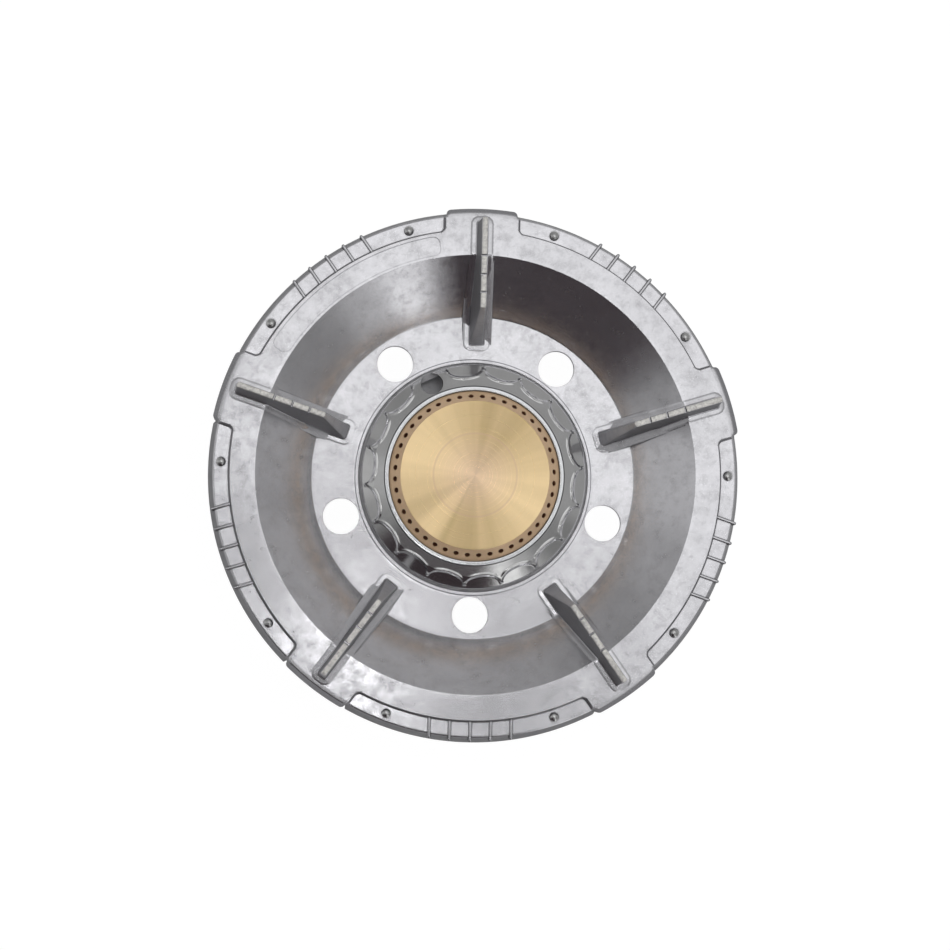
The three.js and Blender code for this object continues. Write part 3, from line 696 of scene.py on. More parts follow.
def notch_solid(radius):
    """Wedge across a rib."""
    reach = RIB_ROOT_HALF
    top = RIB_TOP + NOTCH_DEPTH
    widen = NOTCH_WIDTH / 2 + (NOTCH_WIDTH - NOTCH_FLOOR) / 2
    floor = RIB_TOP - NOTCH_DEPTH
    loop = [(-NOTCH_FLOOR / 2, floor), (NOTCH_FLOOR / 2, floor), (widen, top), (-widen, top)]
    return stacked([[(radius + x, y, z) for x, z in loop] for y in (reach, -reach)])


def grip_solid(place):
    """Low ridge over a pad that ends in an upright fin, along +X at a distance from the pad's middle."""
    floor = BLOCK_TOP - PAD_DROP
    bottom = SKIRT_BOTTOM + SKIRT_LIP
    loops = []
    for share in np.linspace(-1, 1, GRIP_LOOPS):
        lift = GRIP_RISE * (1 - abs(share) ** 4) - GRIP_SINK * abs(share) ** 4
        y = place - share * GRIP_HALF
        outer = GRIP_OUTER + lift
        line = soften([
            (SKIRT_OUTER - CORNER_SOFT, bottom, 0),
            (outer, bottom, 0),
            (outer, floor + lift, CORNER_SOFT),
            (PAD_INNER - CORNER_SOFT, floor + lift, 0),
            (PAD_INNER - CORNER_SOFT, floor - CORNER_SOFT, 0),
            (PAD_OUTER - CORNER_SOFT, floor - CORNER_SOFT, 0),
        ], closed=True)
        loops.append([(math.sqrt(r * r - y * y), y, z) for r, z in line])
    return stacked(loops)


def panel_solid():
    """Shallow cutter for the blank panel on the rim."""
    middle = sum(PANEL_RADII) / 2
    length = (PANEL_ANGLES[1] - PANEL_ANGLES[0]) * middle
    ends = PANEL_CORNER * (1 - np.cos(np.linspace(0, math.pi / 2, ARC_STEPS + 1)))
    straight = np.linspace(PANEL_CORNER, length - PANEL_CORNER, PANEL_COLUMNS)[1:-1]
    loops = []
    for place in np.concatenate([ends, straight, length - ends[::-1]]):
        near = min(place, length - place, PANEL_CORNER)
        back = PANEL_CORNER - math.sqrt(max(0, PANEL_CORNER ** 2 - (PANEL_CORNER - near) ** 2))
        inner, outer = PANEL_RADII[0] + back, PANEL_RADII[1] - back
        top = RIM_TOP + CORNER_SOFT
        heights = [bowl_height(inner) - PANEL_DEPTH, top, top, bowl_height(outer) - PANEL_DEPTH]
        radii = np.array([inner, inner, outer, outer])
        loops.append(polar_points(radii, PANEL_ANGLES[0] + place / middle, heights))
    return stacked(loops)


def air_hole_cutter():
    under = RING_TOP - CAST_WALL
    return spun([
        (0, under - OVERRUN, 0),
        (AIR_HOLE, under - OVERRUN, 0),
        (AIR_HOLE, RING_TOP - FINE_STEP, 0),
        (AIR_HOLE + FINE_STEP, RING_TOP + FINE_STEP / 3, 0),
        (AIR_HOLE + FINE_STEP, RING_TOP + OVERRUN, 0),
        (0, RING_TOP + OVERRUN, 0),
    ], BORE_COLUMNS)


def rivet_spot():
    """Cutter for a rivet's hole and the flat round its head."""
    pad_floor = BLOCK_TOP - PAD_DROP
    hole = RIVET_SHANK + FINE_STEP
    return lathe([
        (0, BOSS_END - OVERRUN),
        (hole, BOSS_END - OVERRUN),
        (hole, pad_floor - SPOT_DEPTH),
        (SPOT_FACE, pad_floor - SPOT_DEPTH),
        (SPOT_FACE, pad_floor + SPOT_DEPTH),
        (0, pad_floor + SPOT_DEPTH),
    ], BOSS_COLUMNS)


def pan_support():
    pad_under = BLOCK_TOP - PAD_DROP - CAST_WALL
    boss_root = pad_under + RIB_SINK
    ring_boss_root = RING_TOP - CAST_WALL + RIB_SINK
    ridge_places = [(i - (GRIP_COUNT - 1) / 2) * GRIP_PITCH for i in range(GRIP_COUNT)]
    added = [turned_solid(rib_solid(), angle) for angle in RIB_ANGLES]
    added += [turned_solid(grip_solid(place), angle) for angle in PAD_ANGLES for place in ridge_places]
    added += around(rod(RIVET_BOSS, BOSS_END, boss_root), RIVET_CIRCLE, RIVET_ANGLES)
    added += around(rod(LEG_BOSS, BOSS_END, boss_root, BOSS_COLUMNS), LEG_CIRCLE, RIB_ANGLES)
    added += around(rod(ARM_BOSS, RING_BOSS_END, ring_boss_root, BOSS_COLUMNS), ARM_CIRCLE, ARM_ANGLES)
    leg_screw = rod(SCREW_HOLE, BOSS_END - OVERRUN, pad_under + SCREW_HOLE_DEPTH)
    arm_screw = rod(SCREW_HOLE, RING_BOSS_END - OVERRUN, RING_TOP - ARM_BLIND)
    holes = around(air_hole_cutter(), AIR_HOLE_CIRCLE, PAD_ANGLES)
    holes += around(rivet_spot(), RIVET_CIRCLE, RIVET_ANGLES)
    holes += around(leg_screw, LEG_CIRCLE, RIB_ANGLES)
    holes += around(arm_screw, ARM_CIRCLE, ARM_ANGLES)
    holes += [turned_solid(notch_solid(radius), angle) for angle in RIB_ANGLES for radius in NOTCHES]
    holes.append(panel_solid())
    looks = [CAST, CONE, RIB_CREST, SHADED_BODY_ALLOY]
    joins, cuts = [compound(added)], [compound(holes)]
    piece = make_piece("bowl", bowl_solid(), "burner", ["pan_support"], looks, joins, cuts)
    paint_bowl(piece.data)


def face_values(mesh, key):
    values = np.zeros(len(mesh.polygons) * 3)
    mesh.polygons.foreach_get(key, values)
    return values.reshape(-1, 3)


def face_places(mesh):
    """Distance from the axis and height of each face's middle."""
    x, y, z = face_values(mesh, "center").T
    return np.hypot(x, y), z


def share_out(mesh, index):
    mesh.polygons.foreach_set("material_index", index.astype(np.int32))


def paint_bowl(mesh):
    """Gives the cone and the worn rib tops their own materials, and the tray's ledge the darker body alloy as
    painted shade.
    """
    radius, height = face_places(mesh)
    cone_height = np.interp(radius, [RING_OUTER, RIM_INNER], [RING_TOP, RIM_TOP])
    on_cone = np.abs(height - cone_height) < FINE_STEP * 2
    on_cone &= (radius > RING_OUTER) & (radius < RIM_INNER)
    on_cone &= np.abs(face_values(mesh, "normal")[:, 2] - math.cos(CONE_ANGLE)) < CONE_MATCH
    crest = height > RIB_TOP - RIB_EDGE / 3
    ledge = radius < OPENING - FINE_STEP
    share_out(mesh, np.select([crest, on_cone, ledge], [2, 1, 3], 0))


# Tray
def tray_height(radius):
    places = [place for place, _ in TRAY_PROFILE] + [TRAY_OUTER]
    heights = [height for _, height in TRAY_PROFILE] + [TRAY_EDGE_TOP]
    return np.interp(radius, places, heights)


def scallop_radius(angles):
    """Plan outline of the raised part, and how deep each place lies in its scallop."""
    turn = (angles - LIGHTING_HOLE_ANGLE - SCALLOP_PITCH / 2) % FULL_TURN
    across = 2 * (turn % SCALLOP_PITCH) / SCALLOP_PITCH - 1
    plain = turn > FULL_TURN - SCALLOP_PITCH
    dip = np.where(plain, 0, np.sqrt(np.maximum(0, 1 - across ** 2)))
    return CUSP_RADIUS - dip * (CUSP_RADIUS - SCALLOP_RADIUS), dip


def tray_solid():
    angles = angles_round(TRAY_COLUMNS)
    outline, dip = scallop_radius(angles)
    fade = smooth(dip * BEAD_FADE - BEAD_FADE_START)
    slope = np.gradient(np.concatenate([outline[-2:], outline, outline[:2]]))[2:-2]
    slope = slope / (outline * FULL_TURN / TRAY_COLUMNS)
    square = 1 / np.sqrt(1 + slope ** 2)
    cusps = LIGHTING_HOLE_ANGLE + SCALLOP_PITCH / 2 + SCALLOP_PITCH * np.arange(SCALLOP_COUNT)
    inner, inner_height = TRAY_PROFILE[0]
    rows = []
    for radius in np.linspace(inner + FINE_STEP, TRAY_OUTER - EDGE_SOFT, TRAY_ROWS):
        away = (radius - outline) * square
        fall = smooth((away - TRAY_STEP_PLACE) / TRAY_STEP_RUN + 0.5)
        height = tray_height(radius) - TRAY_STEP * fall
        height = height + fade * TRAY_BEAD * np.exp(-(away / TRAY_BEAD_SIZE) ** 2)
        for cusp in cusps:
            x = radius * np.cos(angles) - CUSP_RADIUS * math.cos(cusp)
            y = radius * np.sin(angles) - CUSP_RADIUS * math.sin(cusp)
            height = height + CUSP_BUMP * np.exp(-(x * x + y * y) / CUSP_BUMP_SIZE ** 2)
        rows.append(polar_points(radius, angles, height))
    edge = float(tray_height(TRAY_OUTER - EDGE_SOFT) - TRAY_STEP)
    under = [(radius, height - TRAY_STEP - TRAY_WALL, 0) for radius, height in TRAY_PROFILE[::-1]]
    line = soften([
        (TRAY_OUTER - EDGE_SOFT, edge, 0),
        (TRAY_OUTER, edge - EDGE_SOFT, EDGE_SOFT / 2),
        (TRAY_OUTER, TRAY_REST, 0),
        (TRAY_OUTER - TRAY_WALL, TRAY_REST, 0),
        (TRAY_OUTER - TRAY_WALL, TRAY_SHOULDER - TRAY_WALL, 0),
        *under,
        (inner, inner_height - FINE_STEP, 0),
    ])
    rows += [circle(radius, height, TRAY_COLUMNS) for radius, height in line[1:]]
    return stacked(rows, close=True)


def tray():
    hole = rod(LIGHTING_HOLE, TRAY_REST - OVERRUN, TRAY_PROFILE[0][1] + OVERRUN, BORE_COLUMNS)
    hole = placed(hole, LIGHTING_HOLE_CIRCLE, LIGHTING_HOLE_ANGLE)
    make_piece("tray", tray_solid(), "tray", ["burner_tray"], [TRAY_STEEL], cuts=[hole])


# Cap
def port_cutter():
    """Port along -X and up, square to the chamfer."""
    loops = []
    for place in (-PORT_SINK, -PORT_RADIUS / 4, 0, OVERRUN):
        wide = PORT_RADIUS * (PORT_FLARE if place >= 0 else 1)
        loops.append(circle(wide, place, PORT_COLUMNS))
    points, faces = stacked(loops)
    x, y, z = points.T
    cos, sin = math.cos(math.pi / 4), math.sin(math.pi / 4)
    return np.stack([x * cos + z * sin, y, z * cos - x * sin], axis=1), faces


def cap():
    spigot_inner = CAP_BORE - CAP_SPIGOT_WALL
    roof = CAP_TOP - CAP_WALL
    profile = refine(soften([
        (0, roof, 0),
        (spigot_inner, roof, CORNER_SOFT),
        (spigot_inner, CAP_SPIGOT_END, SMALL_SOFT),
        (CAP_BORE, CAP_SPIGOT_END, SMALL_SOFT),
        (CAP_BORE, CAP_SEAT, 0),
        (CAP_RADIUS, CAP_SEAT, SMALL_SOFT),
        (CAP_RADIUS, CAP_TOP - CAP_CHAMFER, SMALL_SOFT),
        (CAP_RADIUS - CAP_CHAMFER, CAP_TOP, SMALL_SOFT),
        (0, CAP_TOP, 0),
    ]), COARSE_STEP)
    port = moved(port_cutter(), CAP_RADIUS - CAP_CHAMFER / 2, 0, CAP_TOP - CAP_CHAMFER / 2)
    angles = [FULL_TURN / 4 + (i + 0.5) * FULL_TURN / PORT_COUNT for i in range(PORT_COUNT)]
    ports = compound([turned_solid(port, angle) for angle in angles])
    solid = lathe(profile, CAP_COLUMNS)
    piece = make_piece("cap", solid, "cap", ["burner_cap"], [BRASS, PORT_SOOT], cuts=[ports])
    radius, height = face_places(piece.data)
    depth = CAP_RADIUS + CAP_TOP - CAP_CHAMFER - radius - height
    inside = (depth > FINE_STEP * 2) & (radius < CAP_RADIUS - FINE_STEP) & (radius > spigot_inner + FINE_STEP)
    inside &= (height < CAP_TOP - FINE_STEP) & (height > CAP_SEAT + FINE_STEP)
    share_out(piece.data, inside)


# Burner body
def along_tube(solid):
    """Turns a solid from the vertical to the tube's axis."""
    x, y, z = solid[0].T
    return np.stack([x, z, TUBE_AXIS - y], axis=1), solid[1]


def outline_arc(x, y, radius, start, stop):
    angles = np.linspace(start, stop, OUTLINE_STEPS + 1)
    return [(x + radius * math.cos(a), y + radius * math.sin(a)) for a in angles]


def soft_plate(outline, low, high, edge):
    """Upright plate of a convex outline with softened edges above and below."""
    points = np.array(outline)
    ahead = np.roll(points, -1, axis=0) - np.roll(points, 1, axis=0)
    ahead /= np.linalg.norm(ahead, axis=1)[:, None]
    inward = np.stack([-ahead[:, 1], ahead[:, 0]], axis=1)
    quarter = np.linspace(0, math.pi / 2, ARC_STEPS + 1)
    drops, insets = edge * (1 - np.sin(quarter)), edge * (1 - np.cos(quarter))
    levels = np.concatenate([low + drops[::-1], high - drops])
    loops = []
    for level, inset in zip(levels, np.concatenate([insets[::-1], insets])):
        loops.append(np.column_stack([points + inward * inset, np.full(len(points), level)]))
    return stacked(loops)


def tube_flange(start, end):
    plate = outline_arc(TUBE_SCREW_SPREAD, 0, TUBE_FLANGE_END, -math.pi / 2, math.pi / 2)
    plate += outline_arc(-TUBE_SCREW_SPREAD, 0, TUBE_FLANGE_END, math.pi / 2, 3 * math.pi / 2)
    corners = [(0, start, 0), (TUBE_HUB, start, EDGE_SOFT), (TUBE_HUB, end, EDGE_SOFT), (0, end, 0)]
    return [along_tube(spun(corners, BORE_COLUMNS)), along_tube(soft_plate(plate, start, end, EDGE_SOFT))]


def tube_flange_holes(start, end):
    hole = along_tube(rod(SCREW_HOLE, start - OVERRUN, end + OVERRUN))
    return [moved(hole, side * TUBE_SCREW_SPREAD) for side in (-1, 1)]


def body_solid():
    under = RING_TOP - BODY_DROP
    outer = BODY_BORE + BODY_WALL
    return lathe(refine(soften([
        (0, under, 0),
        (outer - BODY_SLOPE, under, EDGE_SOFT),
        (outer, under + BODY_SLOPE, CORNER_SOFT),
        (outer, ARM_UNDER, CORNER_SOFT),
        (BODY_FLANGE, ARM_UNDER, CORNER_SOFT),
        (BODY_FLANGE, ARM_TOP, CORNER_SOFT),
        (LIP_OUTER, ARM_TOP, CORNER_SOFT),
        (LIP_OUTER, LIP_TOP, LIP_SOFT),
        (LIP_INNER, LIP_TOP, LIP_SOFT),
        (LIP_INNER, CAP_SEAT - FINE_STEP, FINE_STEP),
        (BODY_BORE, CAP_SEAT - FINE_STEP, FINE_STEP),
        (BODY_BORE, under + BODY_SLOPE + BODY_WALL, CORNER_SOFT),
        (BODY_BORE - BODY_SLOPE, under + BODY_WALL, CORNER_SOFT),
        (0, under + BODY_WALL, 0),
    ]), COARSE_STEP * 2), BODY_COLUMNS)


def burner_body():
    root = BODY_BORE + BODY_WALL / 2
    outline = [(root, ARM_HALF), (root, -ARM_HALF)]
    outline += outline_arc(ARM_CIRCLE, 0, ARM_HALF, -math.pi / 2, math.pi / 2)
    arm = soft_plate(outline, ARM_UNDER + FINE_STEP, ARM_TOP - FINE_STEP, EDGE_SOFT)
    neck = along_tube(rod(TUBE_BORE + BODY_WALL, BODY_BORE, NECK_END - TUBE_FLANGE / 2, BORE_COLUMNS))
    flange = (NECK_END - TUBE_FLANGE, NECK_END)
    joins = [turned_solid(arm, angle) for angle in ARM_ANGLES] + [neck] + tube_flange(*flange)
    bore = along_tube(rod(TUBE_BORE, BODY_BORE - BODY_SLOPE, NECK_END + OVERRUN, BORE_COLUMNS))
    screw = rod(SCREW_HOLE, ARM_UNDER - OVERRUN, ARM_TOP + OVERRUN)
    cuts = [bore] + tube_flange_holes(*flange) + around(screw, ARM_CIRCLE, ARM_ANGLES)
    solid, looks = body_solid(), [SHADED_BODY_ALLOY, LIP_ALLOY]
    piece = make_piece("mixing_chamber", solid, "burner", ["burner_body"], looks, joins, cuts)
    radius, height = face_places(piece.data)
    share_out(piece.data, (height > LIP_TOP - EDGE_SOFT) & (radius < LIP_OUTER + EDGE_SOFT))


# Stand: ring, legs, feet and their screws
def stand_ring():
    outer = max(abs(corner[0]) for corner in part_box("stand_ring"))
    ring = spun([
        (STAND_INNER, STAND_UNDER, EDGE_SOFT),
        (outer, STAND_UNDER, EDGE_SOFT),
        (outer, STAND_TOP, EDGE_SOFT),
        (STAND_INNER, STAND_TOP, EDGE_SOFT),
    ], BODY_COLUMNS, closed=True)
    low, high = STAND_UNDER - OVERRUN, STAND_TOP + OVERRUN
    holes = around(rod(RIVET_SHANK + CLEARANCE, low, high), RIVET_CIRCLE, RIVET_ANGLES)
    holes += around(rod(SCREW_HOLE, low, high), LEG_CIRCLE, RIB_ANGLES)
    cuts = [compound(holes)]
    make_piece("stand_ring_plate", ring, "burner", ["stand_ring"], [STRAP_STEEL], cuts=cuts)


def leg_solid():
    """Bent strap, drawn out along Y with softened edges."""
    inner = LEG_CIRCLE - LEG_BACK
    web = inner + LEG_THICKNESS
    foot_end = LEG_CIRCLE + LEG_FOOT_RUN
    tab_end = LEG_CIRCLE + LEG_TAB_RUN
    outline = soften([
        (inner, LEG_SEAT, LEG_BEND),
        (foot_end, LEG_SEAT, CORNER_SOFT),
        (foot_end, LEG_SEAT + LEG_THICKNESS, CORNER_SOFT),
        (web, LEG_SEAT + LEG_THICKNESS, CORNER_SOFT),
        (web, LEG_TOP - LEG_THICKNESS, CORNER_SOFT),
        (tab_end, LEG_TOP - LEG_THICKNESS, CORNER_SOFT),
        (tab_end, LEG_TOP, CORNER_SOFT),
        (inner, LEG_TOP, LEG_BEND),
    ], closed=True)
    points, faces = soft_plate(outline, -LEG_HALF, LEG_HALF, LEG_EDGE)
    x, y, z = points.T
    return np.stack([x, -z, y], axis=1), faces


def hexagon(radius, soft):
    corners = [(math.cos(a) * radius, math.sin(a) * radius, soft) for a in np.arange(6) * math.pi / 3]
    return soften(corners, closed=True)


def hex_bolt(head_low, head_high, tip):
    """Chamfered hexagon head from head_low to head_high, and a threaded shank to its tip."""
    head = soft_plate(hexagon(BOLT_HEAD, BOLT_SOFT), head_low, head_high, BOLT_SOFT)
    ridges = max(2, int((tip - head_high) / BOLT_PITCH))
    root = BOLT_SHANK - BOLT_THREAD
    pitch = (tip - head_high) / ridges
    line = [(0, head_high - BOLT_SOFT), (root, head_high - BOLT_SOFT)]
    for i in range(ridges):
        line += [(root, head_high + pitch * i), (BOLT_SHANK, head_high + pitch * (i + 0.5))]
    return head, lathe(line + [(root, tip), (0, tip)], PIN_COLUMNS)


def bolt(name, node_name, head, shank):
    make_piece(name, head, "burner", [node_name], [BOLT_STEEL], joins=[shank])


def upright_bolt(name, node_name, circle_radius, angle, seat, tip):
    parts = hex_bolt(seat - BOLT_HEAD_HEIGHT, seat, tip)
    bolt(name, node_name, *[placed(part, circle_radius, angle) for part in parts])


def foot_solid():
    plug = LEG_SEAT + LEG_THICKNESS + CLEARANCE
    return spun([
        (0, 0, 0),
        (FOOT_RADIUS, 0, CORNER_SOFT),
        (FOOT_RADIUS - FOOT_TAPER, FOOT_HEIGHT, CORNER_SOFT),
        (FOOT_STEM, FOOT_HEIGHT, SMALL_SOFT),
        (FOOT_STEM, plug, SMALL_SOFT),
        (FOOT_PLUG, plug, SMALL_SOFT),
        (FOOT_STEM, plug + FOOT_PLUG_HEIGHT, EDGE_SOFT),
        (0, plug + FOOT_PLUG_HEIGHT, 0),
    ], FITTING_COLUMNS)


def legs():
    tab = (LEG_TOP - LEG_THICKNESS - OVERRUN / 2, LEG_TOP + OVERRUN / 2)
    step = (LEG_SEAT - OVERRUN / 2, LEG_SEAT + LEG_THICKNESS + OVERRUN / 2)
    holes = [rod(SCREW_HOLE, *tab), rod(FOOT_STEM + CLEARANCE, *step)]
    seat = LEG_TOP - LEG_THICKNESS - CLEARANCE
    tip = BLOCK_TOP - PAD_DROP - CAST_WALL + SCREW_HOLE_DEPTH - CLEARANCE
    for i, angle in enumerate(RIB_ANGLES):
        strap = turned_solid(leg_solid(), angle)
        cuts = [placed(hole, LEG_CIRCLE, angle) for hole in holes]
        make_piece(f"strap_leg_{i + 1}", strap, "burner", [f"leg_{i + 1}"], [STRAP_STEEL], cuts=cuts)
        upright_bolt(f"leg_bolt_{i + 1}", f"leg_screw_{i + 1}", LEG_CIRCLE, angle, seat, tip)
        foot = placed(foot_solid(), LEG_CIRCLE, angle)
        make_piece(f"rubber_foot_{i + 1}", foot, "burner", [f"foot_{i + 1}"], [FOOT_RUBBER])


# Gas train behind the burner body
def arm_bolts():
    seat = ARM_UNDER - CLEARANCE
    tip = RING_TOP - ARM_BLIND - CLEARANCE
    for i, angle in enumerate(ARM_ANGLES):
        upright_bolt(f"arm_bolt_{i + 1}", f"burner_screw_{i + 1}", ARM_CIRCLE, angle, seat, tip)


def window_bars(reach):
    """Four cutters for the air windows, halfway between upright and level."""
    half = WINDOW_WIDTH / 2
    outline = [(-reach, -half), (reach, -half), (reach, half), (-reach, half)]
    ends = (WINDOW_START, WINDOW_START + WINDOW_LENGTH)
    block = stacked([[(x, y, z) for x, y in outline] for z in ends])
    return [along_tube(turned_solid(block, eighth * math.pi / 4)) for eighth in (1, 3)]


def tube_parts():
    start = NECK_END + CLEARANCE
    end = start + GASKET
    hub, plate = tube_flange(start, end)
    bore = along_tube(rod(TUBE_BORE, start - OVERRUN, end + OVERRUN, BORE_COLUMNS))
    cuts = [bore] + tube_flange_holes(start, end)
    make_piece("flange_gasket", hub, "burner", ["tube_gasket"], [FIBRE], [plate], cuts)

    start = end + CLEARANCE
    end = start + TUBE_FLANGE
    hub, plate = tube_flange(start, end)
    root = start + CORNER_SOFT
    corners = [(0, root, 0), (TUBE_OUTER, root, 0), (TUBE_OUTER, TUBE_END, EDGE_SOFT), (0, TUBE_END, 0)]
    joins = [plate, along_tube(spun(corners, BORE_COLUMNS))]
    cuts = [along_tube(rod(TUBE_BORE, start - OVERRUN, TUBE_END + OVERRUN, BORE_COLUMNS))]
    cuts += tube_flange_holes(start, end) + window_bars(TUBE_OUTER + OVERRUN)
    make_piece("air_tube", hub, "burner", ["mixing_tube"], [TUBE_ALLOY], joins, cuts)

    seat = end + CLEARANCE
    solids = hex_bolt(-seat - BOLT_HEAD_HEIGHT, -seat, TUBE_FLANGE - NECK_END)
    solids = [along_tube(upside_down(solid)) for solid in solids]
    for i, side in enumerate((-1, 1)):
        parts = [moved(solid, side * TUBE_SCREW_SPREAD) for solid in solids]
        bolt(f"flange_bolt_{i + 1}", f"tube_screw_{i + 1}", *parts)


def shutter():
    inner = TUBE_OUTER + CLEARANCE
    outer = inner + COLLAR_WALL
    start, end = WINDOW_START - COLLAR_MARGIN, WINDOW_START + WINDOW_LENGTH + COLLAR_MARGIN
    middle = WINDOW_START + WINDOW_LENGTH / 2
    corners = [(inner, start, SMALL_SOFT), (outer, start, EDGE_SOFT), (outer, end, EDGE_SOFT)]
    collar = along_tube(spun(corners + [(inner, end, SMALL_SOFT)], BORE_COLUMNS, closed=True))
    hole = moved(rod(THUMB_SHANK + CLEARANCE, TUBE_AXIS - outer - OVERRUN, TUBE_AXIS), 0, middle)
    cuts = window_bars(outer + OVERRUN) + [hole]
    make_piece("air_collar", collar, "shutter", ["air_shutter"], [STRAP_STEEL], cuts=cuts)

    top = TUBE_AXIS - outer - THUMB_STAND
    low = top - THUMB_HEIGHT
    angles = angles_round(THUMB_KNURLS * 4)
    grooved = THUMB_HEAD - THUMB_GROOVE * (1 - np.cos(angles * THUMB_KNURLS)) / 2
    line = ((EDGE_SOFT, low), (0, low + EDGE_SOFT), (0, top - EDGE_SOFT), (EDGE_SOFT, top))
    head = stacked([polar_points(grooved - back, angles, height) for back, height in line])
    shank = moved(rod(THUMB_SHANK, top - CORNER_SOFT, TUBE_AXIS - inner), 0, middle)
    head = moved(head, 0, middle)
    make_piece("thumb_bolt", head, "shutter", ["shutter_screw"], [FITTING_BRASS], joins=[shank])


def along_branch(solid):
    """Turns a solid from the vertical to the inlet branch's axis, along +X."""
    x, y, z = solid[0].T
    return np.stack([z, BRANCH_PLACE + y, TUBE_AXIS - x], axis=1), solid[1]


def gas_piece(name, node_name, solid, joins=(), cuts=()):
    make_piece(name, solid, "burner", [node_name], [FITTING_BRASS], joins, cuts)


def holder():
    core = along_tube(spun([
        (0, SPIGOT_START, 0),
        (TUBE_BORE - CLEARANCE, SPIGOT_START, EDGE_SOFT),
        (TUBE_BORE - CLEARANCE, HOLDER_FACE, 0),
        (HOLDER_COLLAR, HOLDER_FACE, EDGE_SOFT),
        (HOLDER_COLLAR, HOLDER_BODY_START, EDGE_SOFT),
        (HOLDER_BODY, HOLDER_BODY_START, SMALL_SOFT),
        (HOLDER_BODY, HOLDER_END, CORNER_SOFT),
        (0, HOLDER_END, 0),
    ], BORE_COLUMNS))
    corners = [(0, 0, 0), (BRANCH_RADIUS, 0, 0), (BRANCH_RADIUS, BRANCH_END, EDGE_SOFT), (0, BRANCH_END, 0)]
    thread_end = SPIGOT_START + JET_THREAD_LENGTH + CLEARANCE
    cuts = [
        along_tube(rod(JET_THREAD + CLEARANCE, SPIGOT_START - OVERRUN, thread_end)),
        along_tube(rod(GAS_BORE, SPIGOT_START, BRANCH_PLACE + GAS_BORE)),
        along_branch(rod(GAS_BORE, 0, BRANCH_END + OVERRUN)),
    ]
    gas_piece("gas_holder", "injector_holder", core, [along_branch(spun(corners, BORE_COLUMNS))], cuts)


def jet():
    seat = SPIGOT_START - CLEARANCE
    nose = seat - JET_HEAD_LENGTH
    tip = nose - JET_NOSE_LENGTH
    root = nose + EDGE_SOFT
    thread_end = SPIGOT_START + JET_THREAD_LENGTH
    head = along_tube(soft_plate(hexagon(JET_HEAD, BOLT_SOFT), nose, seat, BOLT_SOFT))
    corners = [(0, tip, 0), (JET_NOSE, tip, EDGE_SOFT), (JET_NOSE, root, 0), (0, root, 0)]
    thread = along_tube(rod(JET_THREAD, seat - EDGE_SOFT, thread_end))
    orifice = along_tube(rod(JET_ORIFICE, tip - OVERRUN, thread_end + OVERRUN))
    gas_piece("gas_jet", "injector_jet", head, [along_tube(spun(corners, BOSS_COLUMNS)), thread], [orifice])


def nut_and_nozzle():
    start = BRANCH_END + CLEARANCE
    flange_end = start + NOZZLE_FLANGE_LENGTH
    nut_end = flange_end + CLEARANCE + NUT_LIP
    nut = along_branch(soft_plate(hexagon(NUT_RADIUS, EDGE_SOFT), nut_end - NUT_LENGTH, nut_end, EDGE_SOFT))
    cuts = [
        along_branch(rod(BRANCH_RADIUS + CLEARANCE, 0, nut_end - NUT_LIP, FITTING_COLUMNS)),
        along_branch(rod(NOZZLE_STEM + CLEARANCE, 0, nut_end + OVERRUN, FITTING_COLUMNS)),
    ]
    gas_piece("union_nut", "inlet_nut", nut, cuts=cuts)

    tip = start + NOZZLE_LENGTH
    line = [
        (NOZZLE_BORE, start, SMALL_SOFT),
        (NOZZLE_FLANGE, start, SMALL_SOFT),
        (NOZZLE_FLANGE, flange_end, SMALL_SOFT),
        (NOZZLE_STEM, flange_end, SMALL_SOFT),
    ]
    for i in range(BARBS):
        barb = tip - (BARBS - i) * BARB_LENGTH
        line += [
            (NOZZLE_STEM, barb, SMALL_SOFT / 3),
            (NOZZLE_STEM + BARB_RISE, barb, SMALL_SOFT / 2),
            (NOZZLE_STEM + BARB_RISE / 5, barb + BARB_LENGTH - SMALL_SOFT, 0),
        ]
    line += [(NOZZLE_STEM, tip, SMALL_SOFT), (NOZZLE_BORE, tip, SMALL_SOFT)]
    gas_piece("hose_nozzle", "inlet_nozzle", along_branch(spun(line, FITTING_COLUMNS, closed=True)))


# Rivets
def rivet_solid():
    head = BLOCK_TOP - PAD_DROP
    tail = SKIRT_BOTTOM + CORNER_SOFT - FINE_STEP
    quarter = np.linspace(0, math.pi / 2, RIVET_ARC)
    dome = [(RIVET_HEAD * math.cos(a), head + RIVET_HEAD_RISE * math.sin(a)) for a in quarter]
    return lathe([
        (0, tail - RIVET_TAIL_RISE),
        (RIVET_TAIL - SMALL_SOFT, tail - RIVET_TAIL_RISE),
        (RIVET_TAIL, tail - RIVET_TAIL_RISE + SMALL_SOFT),
        (RIVET_TAIL, tail),
        (RIVET_SHANK, tail),
        (RIVET_SHANK, head),
        *dome,
    ], RIVET_COLUMNS)


def rivets():
    for i, angle in enumerate(RIVET_ANGLES):
        solid = placed(rivet_solid(), RIVET_CIRCLE, angle)
        make_piece(f"rivet_{i + 1}", solid, "burner", [f"rim_rivet_{i + 1}"], [RIVET_STEEL])
